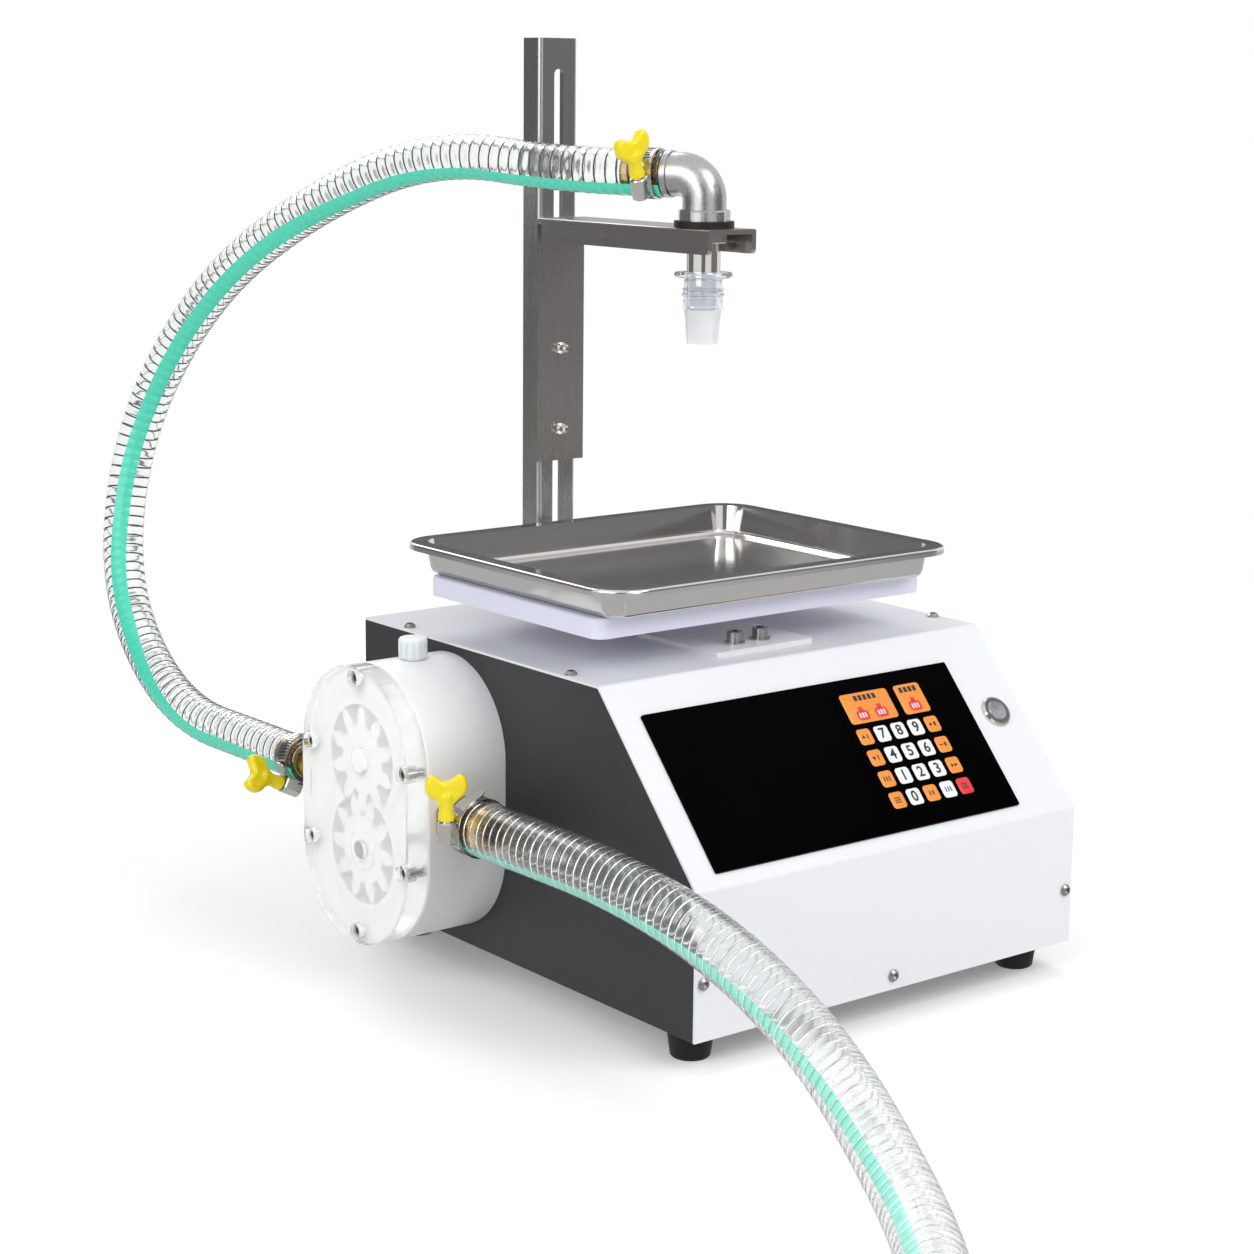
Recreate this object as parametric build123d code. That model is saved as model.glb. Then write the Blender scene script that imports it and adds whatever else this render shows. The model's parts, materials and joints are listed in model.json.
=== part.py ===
from build123d import *
import math
import os

# Honey filling machine: a housing with a control panel, a gear pump on its left side,
# a weighing platform with a tray, and a column that carries the filling nozzle.
# Millimetres, +Z up, +X to the right of the control panel, -Y towards the operator.
# The origin is on the table, under the middle of the housing.

# Driving dimensions of the housing
housing_width = 300.0
housing_depth = 328.0
housing_top = 203.0
foot_height = 18.4
sheet = 1.5
bend_radius = 1.5
corner_ease = 0.2
slope_run = 88.5
front_height = 104.0
flange_width = 12.0
front_lip = 14.0
foot_inset_x = 19.5
foot_inset_y = 26.7
foot_top_radius = 14.0
foot_tip_radius = 11.5
foot_screw_radius = 2.0
foot_bore_radius = 5.0
foot_bore_depth = 4.0
foot_tip_ease = 1.0
foot_head_radius = 4.0
foot_head_height = 2.5
foot_head_lift = 1.5
foot_nut_flats = 7.0
foot_nut_height = 3.0
cover_screw_inset = 5.5
cover_screw_radius = 2.0
cover_screw_head = 3.7
cover_screw_head_height = 2.4
side_screw_back_inset = 42.0
side_screw_front_setback = 32.5
front_screw_height = 52.0
low_screw_height = 27.0

# Control panel, measured down the slope from its top edge
panel_margin_left = 18.0
panel_margin_right = 43.5
panel_start = 22.8
panel_end = 124.0
panel_thickness = 1.6
panel_corner = 1.0
keypad_thickness = 0.5
keypad_margin = 26.5
keypad_width = 74.0
keypad_start = 28.5
keypad_end = 113.5
key_first_offset = 9.5
key_first_s = 62.2
key_pitch_x = 13.8
key_pitch_s = 14.35
key_columns = 5
key_rows = 4
key_size = 10.6
key_corner = 2.2
key_relief = 0.5
block_top = 33.2
block_bottom = 53.4
wide_block_offset = 4.5
wide_block_width = 38.2
small_block_offset = 48.6
small_block_width = 20.9
ribbon_width = 40.0
ribbon_height = 12.0
ribbon_lift = 20.0
button_margin = 22.7
button_s = 61.5
button_bezel_radius = 10.2
button_bezel_height = 2.4
button_barrel_radius = 8.0
button_barrel_length = 16.0
button_cap_radius = 6.8
button_cap_gap = 0.3
button_travel = 2.5
button_proud = 0.6
button_nut_radius = 11.0
button_nut_height = 3.0
button_floor = 3.0
button_stem_radius = 3.0
button_cap_depth = 4.0

# Weighing mechanism and tray
stand_x = -14.0
platform_x = -11.0
platform_setback = 56.0
platform_width = 256.0
platform_depth = 170.0
platform_thickness = 12.0
platform_bottom = 225.0
platform_corner = 8.0
cell_x = -10.0
cell_width = 36.0
cell_height = 28.0
cell_setback = 21.5
cell_back_room = 68.0
cell_hole_radius = 9.75
cell_web = 4.0
cell_hole_pitch = 24.0
cell_spacer_height = 5.0
cell_spacer_length = 32.0
cell_screw_pitch = 20.0
cell_screw_inset = 13.0
cell_screw_radius = 3.0
cell_screw_head = 4.9
cell_screw_head_height = 6.0
cell_washer_radius = 6.2
cell_washer_thickness = 1.2
cell_plate_width = 76.0
cell_plate_gap = 46.0
cell_plate_overhang = 4.0
cell_plate_corner = 2.0
cell_plate_thickness = 3.0
riser_width = 34.0
riser_length = 30.0
riser_hole_margin = 5.0
riser_corner = 3.0
riser_screw_depth = 14.0
platform_screw_sink = 6.5
platform_screw_reach = 12.0
tray_width = 272.0
tray_depth = 220.0
tray_height = 20.0
tray_x = -13.0
tray_setback = 2.0
tray_sheet = 1.0
tray_rim = 10.0
tray_lip = 4.0
tray_corner = 26.0
tray_draft = 10.0
tray_bottom_radius = 5.0
tray_foot = 0.3

# Column, carriage and arm
column_width = 30.0
column_depth = 17.0
column_sheet = 1.5
column_top = 561.0
column_bottom = 70.0
column_bolt_low = 90.0
column_bolt_high = 175.0
column_bolt_radius = 3.0
column_spacer_wall = 3.0
column_bolt_head = 5.2
column_bolt_head_height = 3.5
column_nut_flats = 10.0
column_nut_height = 5.0
slot_width = 7.0
slot_bottom = 240.0
slot_top = 542.0
carriage_width = 37.0
carriage_sheet = 3.0
carriage_lip = 6.0
carriage_gap = 0.3
carriage_bottom = 294.5
arm_top = 450.0
arm_flange = 14.5
arm_front_y = -25.0
arm_corner = 3.0
arm_relief = 4.0
carriage_screw_high = 367.0
carriage_screw_low = 315.0
carriage_screw_radius = 2.5
carriage_screw_proud = 7.0
clamp_plate_thickness = 3.0
clamp_plate_margin = 10.0
stud_shoulder_radius = 3.6
stud_shoulder_length = 1.2
stud_nose = 1.2
stud_nut_flats = 8.0
stud_nut_height = 4.0
stud_tail = 5.0
arm_fold = 1.2

# Elbow and nozzle
nozzle_y = 1.0
washer_radius = 18.0
washer_thickness = 4.0
elbow_axis_z = 481.0
elbow_radius = 13.0
elbow_bend = 15.0
elbow_collar_radius = 15.0
elbow_collar_height = 6.5
elbow_rim_radius = 14.0
elbow_rim_length = 3.5
elbow_reach = 24.0
elbow_turn = 117.0
elbow_thread_depth = 10.0
collar_flat_width = 9.0
collar_flat_depth = 2.4
nipple_seat = 9.0
nipple_radius = 10.0
nipple_bore = 7.0
nipple_bottom = 424.0
nipple_tail = 404.0
nipple_tail_radius = 8.0
lock_nut_flats = 25.0
lock_nut_height = 6.0
adapter_flange_radius = 17.5
adapter_flange_height = 4.0
adapter_radius = 12.2
adapter_bottom = 402.0
adapter_ring_height = 1.2
adapter_ring_proud = 0.5
adapter_ring_drop = 8.0
adapter_step = 0.4
tip_top_radius = 11.2
tip_width = 17.0
tip_depth = 13.0
tip_bottom = 381.3
tip_wall = 1.6

# Gear pump
pump_y = 70.0
pump_z = 112.5
pump_radius = 57.0
gear_spacing = 55.0
gear_teeth = 10
gear_pressure_angle = 26.0
gear_addendum = 5.5
gear_dedendum = 6.4
gear_backlash = 0.3
gear_width = 39.6
gear_clearance = 0.3
side_clearance = 0.2
pump_body_depth = 55.6
pump_cover_depth = 14.5
pump_edge = 2.0
pump_screw_radius = 3.0
pump_screw_head = 4.85
pump_screw_head_height = 6.0
pump_screw_recess = 2.5
pump_screw_length = 34.0
pump_screw_circle = 50.0
pump_screw_angle = 2.3
seal_cord = 3.0
seal_offset = 6.0
port_offset = 36.0
port_radius = 11.0
port_thread_radius = 13.0
port_thread_depth = 12.0
idler_journal_radius = 7.5
idler_journal_length = 6.0
drive_shaft_radius = 5.5
drive_hub_radius = 12.0
drive_hub_height = 1.0
bush_radius = 8.0
bush_length = 8.0
shaft_seal_radius = 11.0
shaft_seal_length = 6.0
plug_radius = 8.5
plug_height = 13.0
plug_stem_radius = 5.0
plug_stem_length = 12.0
plug_offset = 27.0
plug_groove = 1.0
plug_grooves = 12
plug_seat_depth = 0.8
plug_undercut = 1.5
plug_groove_offset = 0.4

# Drive train inside the housing
pillar_radius = 5.0
pillar_length = 46.0
pillar_spread = 31.0
pillar_screw_radius = 3.0
pillar_stud_seat = 12.0
gearbox_size = 80.0
gearbox_corner = 6.0
gearbox_length = 62.0
motor_radius = 36.0
motor_length = 105.0
coupling_radius = 13.0
coupling_length = 30.0
coupling_gap = 0.8
gearbox_shaft_radius = 6.0
gearbox_shaft_seat = 20.0

# Hose fittings and clamps
outlet_radius = 14.0
outlet_wall = 3.0
inlet_radius = 16.5
inlet_wall = 3.5
hex_flats = 27.0
hex_length = 9.0
barb_length = 26.0
barb_rings = 4
barb_relief = 0.6
fitting_wall = 3.5
elbow_socket_step = 1.5
elbow_socket_depth = 8.0
inlet_hex_start = 0.5
outlet_hex_start = 6.0
fitting_bore = 7.5
outlet_hose_start_y = 175.0
inlet_hose_start_y = 0.0
clamp_setback = 9.5
band_width = 11.0
band_thickness = 0.8
band_gap = 0.2
clamp_housing_length = 13.0
clamp_housing_height = 9.0
clamp_housing_overlap = 2.4
clamp_housing_sink = 0.6
tail_start_angle = 12.0
tail_sweep = 62.0
tail_tip = 9.0
band_joint_angle = 16.0
band_joint_length = 3.0
band_joint_height = 1.2
worm_radius = 3.2
worm_offset = 4.4
key_stem_radius = 4.8
key_stem_length = 12.0
key_head_width = 25.0
key_head_height = 18.0
key_head_thickness = 7.0
key_shoulder = 4.5
key_tip = 2.6
key_saddle = 5.0
key_gap = 0.6
key_facing = (-0.61, -0.77, 0.2)
inlet_screw_side = (-1.0, 0.0, 0.0)
outlet_screw_side = (-0.45, 0.0, -0.893)
elbow_screw_side = (-0.81, -0.413, -0.42)

# Rear panel and electronics
rear_inlet_margin = 50.0
rear_inlet_z = 60.0
rear_inlet_width = 28.0
rear_inlet_height = 48.0
rear_inlet_depth = 28.0
rear_bezel = 3.0
switch_width = 13.0
switch_height = 19.0
switch_z = 76.0
switch_tilt = 12.0
switch_pivot_depth = 4.0
switch_play = 0.4
switch_room = 12.0
switch_lift = 1.2
switch_dip = 1.0
switch_rim = 2.0
switch_root = 8.0
socket_width = 22.0
socket_height = 16.0
socket_depth = 16.0
socket_seat = 2.0
mouth_reach = 3.0
pin_spread = 7.0
pin_rise = 3.0
pin_drop = 2.0
pin_width = 2.0
pin_height = 4.0
rear_bezel_corner = 3.0
rear_bezel_thickness = 2.0
vent_width = 4.0
vent_length = 40.0
vent_pitch = 9.0
vent_count = 8
vent_x = 20.0
vent_z = 150.0
supply_width = 98.0
supply_depth = 42.0
supply_length = 110.0
supply_side_gap = 20.5
supply_front_y = -90.0
supply_lift = 3.0
supply_foot_inset = 12.0
supply_foot_radius = 3.5
board_width = 120.0
board_height = 70.0
board_thickness = 1.6
board_gap = 12.0
board_post_radius = 3.0
board_post_inset = 5.0
board_chip = 24.0
board_chip_height = 2.5

# Running clearances
running = 0.05
hole_play = 0.3
seat_gap = 0.3


# Values worked out from the driving dimensions
half_width = housing_width / 2
panel_left = -half_width + panel_margin_left
panel_right = half_width - panel_margin_right
keypad_right = panel_right - keypad_margin
keypad_left = keypad_right - keypad_width
key_first_x = keypad_left + key_first_offset
button_x = half_width - button_margin
rear_inlet_x = half_width - rear_inlet_margin
supply_left = half_width - sheet - supply_side_gap - supply_width
front_y = -housing_depth / 2
rear_y = housing_depth / 2
slope_top_y = front_y + slope_run
side_screw_back_y = rear_y - side_screw_back_inset
side_screw_front_y = slope_top_y + side_screw_front_setback
cell_front_y = slope_top_y + cell_setback
cell_length = rear_y - cell_back_room - cell_front_y
cell_screw_y = cell_front_y + cell_screw_inset
riser_y = cell_front_y + cell_length - riser_length / 2
cell_plate_length = cell_length - riser_length - cell_plate_gap + cell_plate_overhang
platform_y = riser_y - platform_setback
tray_y = platform_y - tray_setback
slope_drop = housing_top - front_height
inside_top = housing_top - sheet
base_top = foot_height + sheet
cell_top = inside_top - cell_spacer_height
plate_top = housing_top + cell_plate_thickness
platform_top = platform_bottom + platform_thickness
rear_inner_y = rear_y - sheet
column_front_y = rear_inner_y - column_depth
carriage_back_y = column_front_y - carriage_gap
carriage_front_y = carriage_back_y - carriage_sheet
arm_bottom = arm_top - arm_flange
pump_back_x = -half_width
port_x = pump_back_x - port_offset
plug_x = pump_back_x - plug_offset
pump_front_x = pump_back_x - pump_body_depth
chamber_depth = gear_width + 2 * side_clearance
gear_pitch_radius = gear_spacing / 2
gear_outer_radius = gear_pitch_radius + gear_addendum
gear_root_radius = gear_pitch_radius - gear_dedendum
drive_z = pump_z - gear_spacing / 2
idler_z = pump_z + gear_spacing / 2
gear_back_x = pump_front_x + side_clearance + gear_width
chamber_back_x = pump_front_x + chamber_depth
gearbox_x = pump_back_x + sheet + pillar_length
elbow_direction = Vector(
    math.cos(math.radians(elbow_turn)), math.sin(math.radians(elbow_turn)), 0
)
slope_plane = Plane(
    origin=(0, slope_top_y, housing_top),
    x_dir=(1, 0, 0),
    z_dir=(0, -slope_drop, slope_run),
)

# Points of the hose routes, chosen along the hoses as they lie
lying_z = inlet_radius + seat_gap
outlet_points = [
    (port_x, outlet_hose_start_y, pump_z),
    (port_x, 226.0, pump_z),
    (port_x - 16.0, 322.0, 119.5),
    (-189.0, 422.0, 187.0),
    (-162.5, 442.5, 293.0),
    (-139.0, 381.0, 391.0),
    (-115.0, 287.0, 452.0),
    (-86.0, 179.0, 492.0),
    (-53.5, 78.52, elbow_axis_z),
    (-25.35, 23.28, elbow_axis_z),
]
inlet_points = [
    (port_x, inlet_hose_start_y, pump_z),
    (port_x, -50.0, pump_z),
    (port_x + 6.5, -131.0, 109.4),
    (port_x + 11.0, -216.0, 94.0),
    (port_x + 6.0, -299.0, 64.0),
    (port_x - 17.0, -378.0, 29.0),
    (port_x - 59.0, -450.0, lying_z),
    (port_x - 121.0, -508.0, lying_z),
    (port_x - 200.0, -539.0, lying_z),
    (port_x - 280.0, -546.0, lying_z),
    (port_x - 326.0, -542.0, lying_z),
]


# Shared shapes

def block(x_range, y_range, z_range):
    """Box between two corners, one range for each axis."""
    corners = [x_range, y_range, z_range]
    size = [abs(b - a) for a, b in corners]
    centre = [(a + b) / 2 for a, b in corners]
    return Pos(*centre) * Box(*size)


def along(origin, direction, x_dir=None):
    """Location at origin with its Z axis along direction."""
    if x_dir is None:
        return Plane(origin=origin, z_dir=direction).location
    return Plane(origin=origin, x_dir=x_dir, z_dir=direction).location


def rod(radius, length):
    """Round bar from Z 0 up to its length."""
    return Pos(0, 0, length / 2) * Cylinder(radius, length)


def turned(profile):
    """Solid of revolution about Z from points of radius and height."""
    outline = Polyline([(r, 0, z) for r, z in profile], close=True)
    return revolve(make_face(outline), Axis.Z)


def ring(outer, inner, length):
    """Tube from Z 0 up to its length."""
    return turned([(inner, 0), (outer, 0), (outer, length), (inner, length)])


def hex_bar(flats, length):
    """Hexagon bar across its flats from Z 0 up to its length."""
    outline = RegularPolygon(flats / 2, 6, major_radius=False)
    return extrude(outline, length)


def socket_screw(radius, length, head_radius, head_height, dome=0.0):
    """Cap screw with its head on Z 0 and its shank below, with a hexagon socket."""
    head = turned([
        (0, 0),
        (head_radius, 0),
        (head_radius, head_height - dome - 0.4),
        (head_radius - 0.4 - dome, head_height),
        (0, head_height),
    ])
    socket = Pos(0, 0, head_height * 0.4) * hex_bar(head_radius * 0.9, head_height)
    shank = Pos(0, 0, -length) * rod(radius, length)
    return head + shank - socket


def slot_cutter(width, length, depth):
    """Upright slot along local Y, centred, cut through along local Z."""
    return extrude(Rot(0, 0, 90) * SlotOverall(length, width), depth, both=True)


def offset_points(points, distance):
    """Points of an open outline moved square to its runs, mitred at its corners."""
    moved = []
    last = len(points) - 1
    for index, (u, v) in enumerate(points):
        before = points[max(index - 1, 0)]
        here = points[max(index, 1)]
        after = points[min(index + 1, last)]
        back = points[min(index, last - 1)]
        first = math.atan2(here[1] - before[1], here[0] - before[0])
        second = math.atan2(after[1] - back[1], after[0] - back[0])
        middle = (first + second) / 2
        reach = distance / math.cos((second - first) / 2)
        moved.append((u - math.sin(middle) * reach, v + math.cos(middle) * reach))
    return moved


def bent_sheet(plane, points, thickness, inner_radius, width):
    """Folded sheet from its outer outline in a plane, centred across the plane."""
    inner = offset_points(points, thickness)
    outside = FilletPolyline(*points, radius=inner_radius + abs(thickness))
    inside = FilletPolyline(*inner, radius=inner_radius)
    ends = [Line(points[0], inner[0]), Line(points[-1], inner[-1])]
    face = make_face([*outside.edges(), *inside.edges(), *ends])
    return extrude(plane * face, width / 2, both=True)


def on_slope(x, s, height=0.0):
    """Location on the slope at a distance down it, with Z square to the slope."""
    return slope_plane.location * Location((x, -s, height))


# Housing

profile_plane = Plane(origin=(0, 0, 0), x_dir=(0, 1, 0), z_dir=(1, 0, 0))
cover_outline = [
    (front_y, foot_height),
    (front_y, front_height),
    (slope_top_y, housing_top),
    (rear_y, housing_top),
]
chassis_outline = offset_points(cover_outline, -sheet)


def cover_screw_places():
    """Places and directions of the screws that hold the cover."""
    side_x = half_width - cover_screw_inset
    top = [
        ((x, y, housing_top), (0, 0, 1))
        for x in (-side_x, side_x)
        for y in (side_screw_back_y, side_screw_front_y)
    ]
    front = [
        ((-side_x, front_y, front_screw_height), (0, -1, 0)),
        ((side_x, front_y, front_screw_height), (0, -1, 0)),
        ((0, front_y, low_screw_height), (0, -1, 0)),
    ]
    return top + front


def side_prism(outline, bottom_z, back_y, width, bend):
    """Housing space below a bent outline of front, slope and top."""
    front = (outline[0][0], bottom_z)
    back = (back_y, outline[3][1])
    skin = FilletPolyline(front, *outline[1:3], back, radius=bend)
    rest = Polyline(back, (back_y, bottom_z), front)
    face = make_face([*skin.edges(), *rest.edges()])
    return extrude(profile_plane * face, width / 2, both=True)


def pump_hole_cutters(radius, length, start_x):
    """Cutters for the four screws that hold the pump to the side."""
    cutters = []
    for y, z in pillar_places():
        cutters.append(along((start_x, y, z), (1, 0, 0)) * rod(radius, length))
    return cutters


def pillar_places():
    """Corners of the square on which the gear motor is held."""
    return [
        (pump_y + dy, drive_z + dz)
        for dy in (-pillar_spread, pillar_spread)
        for dz in (-pillar_spread, pillar_spread)
    ]


def foot_places():
    x = half_width - foot_inset_x
    y = rear_y - foot_inset_y
    return {
        "foot_front_left": (-x, -y),
        "foot_front_right": (x, -y),
        "foot_rear_left": (-x, y),
        "foot_rear_right": (x, y),
    }


def rear_cutters():
    """Openings of the rear wall: mains inlet, vents and the column's bolts."""
    cutters = []
    inlet = Box(rear_inlet_width, 4 * sheet, rear_inlet_height)
    cutters.append(Pos(rear_inlet_x, rear_y, rear_inlet_z + foot_height) * inlet)
    for index in range(vent_count):
        x = vent_x + index * vent_pitch
        slot = slot_cutter(vent_width, vent_length, 2 * sheet)
        cutters.append(along((x, rear_y, vent_z), (0, -1, 0), (1, 0, 0)) * slot)
    for z in (column_bolt_low, column_bolt_high):
        hole = rod(column_bolt_radius + hole_play, 4 * sheet)
        cutters.append(along((stand_x, rear_inner_y - sheet, z), (0, 1, 0)) * hole)
    return cutters


def column_notch(gap):
    """Space that the cover and the rear flange leave for the column."""
    half = column_width / 2 + gap
    return block(
        (stand_x - half, stand_x + half),
        (column_front_y - gap, rear_y + sheet),
        (inside_top - 2 * sheet, housing_top + sheet),
    )


def make_chassis():
    """Dark tray of sheet: bottom, sides and rear wall with flanges for the cover."""
    inner_outline = offset_points(chassis_outline, -sheet)
    inside_width = housing_width - 2 * sheet
    outer_bend = bend_radius + 2 * corner_ease
    outer = side_prism(
        chassis_outline, foot_height, rear_y, housing_width, outer_bend
    )
    inner = side_prism(inner_outline, base_top, rear_inner_y, inside_width, corner_ease)
    window = bent_sheet(
        profile_plane,
        [
            (chassis_outline[0][0], foot_height + front_lip),
            *chassis_outline[1:3],
            (rear_y - sheet - flange_width, inside_top),
        ],
        -sheet,
        bend_radius,
        inside_width - 2 * flange_width,
    )
    shell = outer - inner - window
    nut_room = rod(1.2 * button_nut_radius, 4 * sheet + button_nut_height)
    shell -= on_slope(button_x, button_s, -4 * sheet - button_nut_height) * nut_room
    shell -= block(
        (stand_x - column_width / 2 - seat_gap, stand_x + column_width / 2 + seat_gap),
        (column_front_y - seat_gap, rear_inner_y),
        (inside_top - 2 * sheet, housing_top),
    )
    for cutter in rear_cutters():
        shell -= cutter
    for place, direction in cover_screw_places():
        hole = rod(cover_screw_radius + hole_play, 8 * sheet)
        back = Vector(*place) - Vector(*direction) * 4 * sheet
        shell -= along(back, direction) * hole
    for x, y in foot_places().values():
        shell -= Pos(x, y, 0) * rod(foot_screw_radius + hole_play, base_top + sheet)
    shaft_hole = rod(shaft_seal_radius + hole_play, 4 * sheet)
    shell -= along((pump_back_x - sheet, pump_y, drive_z), (1, 0, 0)) * shaft_hole
    for cutter in pump_hole_cutters(
        pillar_screw_radius + hole_play, 4 * sheet, pump_back_x - sheet
    ):
        shell -= cutter
    return shell


def make_cover():
    """Light sheet over the top, slope and front, folded in one piece."""
    cover = bent_sheet(profile_plane, cover_outline, -sheet, bend_radius, housing_width)
    cover -= column_notch(seat_gap)
    for place, direction in cover_screw_places():
        hole = rod(cover_screw_radius + hole_play, 8 * sheet)
        back = Vector(*place) - Vector(*direction) * 4 * sheet
        cover -= along(back, direction) * hole
    barrel_hole = rod(button_barrel_radius + hole_play, 8 * sheet)
    cover -= on_slope(button_x, button_s, -4 * sheet) * barrel_hole
    ribbon = Box(ribbon_width, ribbon_height, 8 * sheet)
    cover -= on_slope((keypad_left + keypad_right) / 2, keypad_end - ribbon_lift) * ribbon
    cover -= Pos(cell_x, riser_y, housing_top) * Box(
        riser_width + 2 * riser_hole_margin, riser_length + 2 * riser_hole_margin, 4 * sheet
    )
    for side in (-1, 1):
        x = cell_x + side * cell_screw_pitch / 2
        hole = rod(cell_screw_radius + hole_play, 4 * sheet)
        cover -= Pos(x, cell_screw_y, housing_top - 2 * sheet) * hole
    return cover


def make_cover_screws():
    screws = []
    for place, direction in cover_screw_places():
        screw = socket_screw(
            cover_screw_radius, 3 * sheet, cover_screw_head, cover_screw_head_height, 0.9
        )
        screws.append(along(place, direction) * screw)
    return Compound(screws)


def make_foot(x, y):
    """Tapered rubber foot with its screw head sunk in the underside."""
    foot = turned([
        (foot_screw_radius + hole_play, foot_bore_depth),
        (foot_bore_radius, foot_bore_depth),
        (foot_bore_radius, 0),
        (foot_tip_radius - foot_tip_ease, 0),
        (foot_tip_radius, foot_tip_ease),
        (foot_top_radius, foot_height),
        (foot_screw_radius + hole_play, foot_height),
    ])
    return Pos(x, y, 0) * foot


def make_foot_screws():
    screws = []
    for x, y in foot_places().values():
        reach = base_top + foot_nut_height - foot_head_lift
        shank = Pos(0, 0, foot_head_lift) * rod(foot_screw_radius, reach)
        head = Pos(0, 0, foot_head_lift) * rod(foot_head_radius, foot_head_height)
        nut = Pos(0, 0, base_top) * hex_bar(foot_nut_flats, foot_nut_height)
        screws.append(Pos(x, y, 0) * (shank + head + nut))
    return Compound(screws)


# Control panel

def slope_plate(left, right, start, end, thickness, corner):
    """Rounded plate lying on the slope."""
    outline = RectangleRounded(right - left, end - start, corner)
    centre = Location(((left + right) / 2, -(start + end) / 2, 0))
    return slope_plane.location * centre * extrude(outline, thickness)


def make_display_panel():
    return slope_plate(
        panel_left, panel_right, panel_start, panel_end, panel_thickness, panel_corner
    )


def key_places():
    return [
        (key_first_x + column * key_pitch_x, key_first_s + row * key_pitch_s)
        for column in range(key_columns)
        for row in range(key_rows)
    ]


def make_keypad():
    """Flexible overlay with raised pads over its switches."""
    base = slope_plate(
        keypad_left, keypad_right, keypad_start, keypad_end, keypad_thickness, key_corner
    )
    pads = []
    for x, s in key_places():
        pad = RectangleRounded(key_size, key_size, key_corner)
        pads.append(on_slope(x, s, keypad_thickness) * extrude(pad, key_relief))
    for offset, width in (
        (wide_block_offset, wide_block_width),
        (small_block_offset, small_block_width),
    ):
        outline = RectangleRounded(width, block_bottom - block_top, key_corner)
        x = keypad_left + offset + width / 2
        centre = on_slope(x, (block_top + block_bottom) / 2, keypad_thickness)
        pads.append(centre * extrude(outline, key_relief))
    overlay = base
    for pad in pads:
        overlay += pad
    shift = slope_plane.z_dir * panel_thickness
    return Pos(shift.X, shift.Y, shift.Z) * overlay


def make_button_bezel():
    """Polished ring, barrel and nut of the start button."""
    well = button_cap_radius + button_cap_gap
    body = turned([
        (well, -button_barrel_length + button_floor),
        (button_barrel_radius, -button_barrel_length + button_floor),
        (button_barrel_radius, 0),
        (button_bezel_radius, 0),
        (button_bezel_radius, button_bezel_height - 1.0),
        (button_bezel_radius - 1.0, button_bezel_height),
        (well, button_bezel_height),
    ])
    floor = Pos(0, 0, -button_barrel_length) * rod(button_barrel_radius, button_floor)
    nut = hex_bar(2 * button_nut_radius, button_nut_height)
    nut -= rod(button_barrel_radius + running, button_nut_height)
    nut_place = Pos(0, 0, -sheet - button_nut_height)
    return on_slope(button_x, button_s) * (body + floor + nut_place * nut)


def make_button_cap():
    stem_bottom = -button_barrel_length + button_floor + button_travel + seat_gap
    top = button_bezel_height + button_proud
    cap = turned([
        (0, stem_bottom),
        (button_stem_radius, stem_bottom),
        (button_stem_radius, -button_cap_depth),
        (button_cap_radius, -button_cap_depth),
        (button_cap_radius, top - 0.6),
        (button_cap_radius - 0.6, top),
        (0, top - 0.3),
    ])
    return on_slope(button_x, button_s) * cap


# Weighing mechanism and tray

def make_load_cell():
    """Bending beam with the double hole that lets it flex under the tray."""
    y_end = cell_front_y + cell_length
    bar = block(
        (cell_x - cell_width / 2, cell_x + cell_width / 2),
        (cell_front_y, y_end),
        (cell_top - cell_height, cell_top),
    )
    middle = (cell_front_y + y_end) / 2
    for side in (-1, 1):
        y = middle + side * cell_hole_pitch / 2
        z = cell_top - cell_height / 2
        bore = rod(cell_hole_radius, cell_width + 2)
        bar -= along((cell_x - cell_width / 2 - 1, y, z), (1, 0, 0)) * bore
    web = block(
        (cell_x - cell_width, cell_x + cell_width),
        (middle - cell_hole_pitch / 2, middle + cell_hole_pitch / 2),
        (cell_top - (cell_height + cell_web) / 2, cell_top - (cell_height - cell_web) / 2),
    )
    bar -= web
    for side in (-1, 1):
        x = cell_x + side * cell_screw_pitch / 2
        hole = rod(cell_screw_radius + running, cell_height / 2)
        bar -= Pos(x, cell_screw_y, cell_top - cell_height / 2) * hole
    return bar


def make_cell_spacer():
    spacer = block(
        (cell_x - cell_width / 2, cell_x + cell_width / 2),
        (cell_front_y, cell_front_y + cell_spacer_length),
        (cell_top, inside_top),
    )
    for side in (-1, 1):
        x = cell_x + side * cell_screw_pitch / 2
        hole = rod(cell_screw_radius + hole_play, cell_spacer_height)
        spacer -= Pos(x, cell_screw_y, cell_top) * hole
    return spacer


def make_cell_plate():
    """Clear plate that spreads the beam's screws over the cover."""
    outline = RectangleRounded(cell_plate_width, cell_plate_length, cell_plate_corner)
    centre_y = cell_front_y - cell_plate_overhang + cell_plate_length / 2
    plate = Pos(cell_x, centre_y, housing_top) * extrude(outline, cell_plate_thickness)
    for side in (-1, 1):
        x = cell_x + side * cell_screw_pitch / 2
        hole = rod(cell_screw_radius + hole_play, cell_plate_thickness)
        plate -= Pos(x, cell_screw_y, housing_top) * hole
    return plate


def make_cell_screws():
    screws = []
    for side in (-1, 1):
        x = cell_x + side * cell_screw_pitch / 2
        washer = ring(cell_washer_radius, cell_screw_radius + running, cell_washer_thickness)
        reach = plate_top + cell_washer_thickness - cell_top + cell_height / 2 - 2
        screw = Pos(0, 0, cell_washer_thickness) * socket_screw(
            cell_screw_radius, reach, cell_screw_head, cell_screw_head_height
        )
        screws.append(Pos(x, cell_screw_y, plate_top) * screw)
        screws.append(Pos(x, cell_screw_y, plate_top) * washer)
    return Compound(screws)


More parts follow.
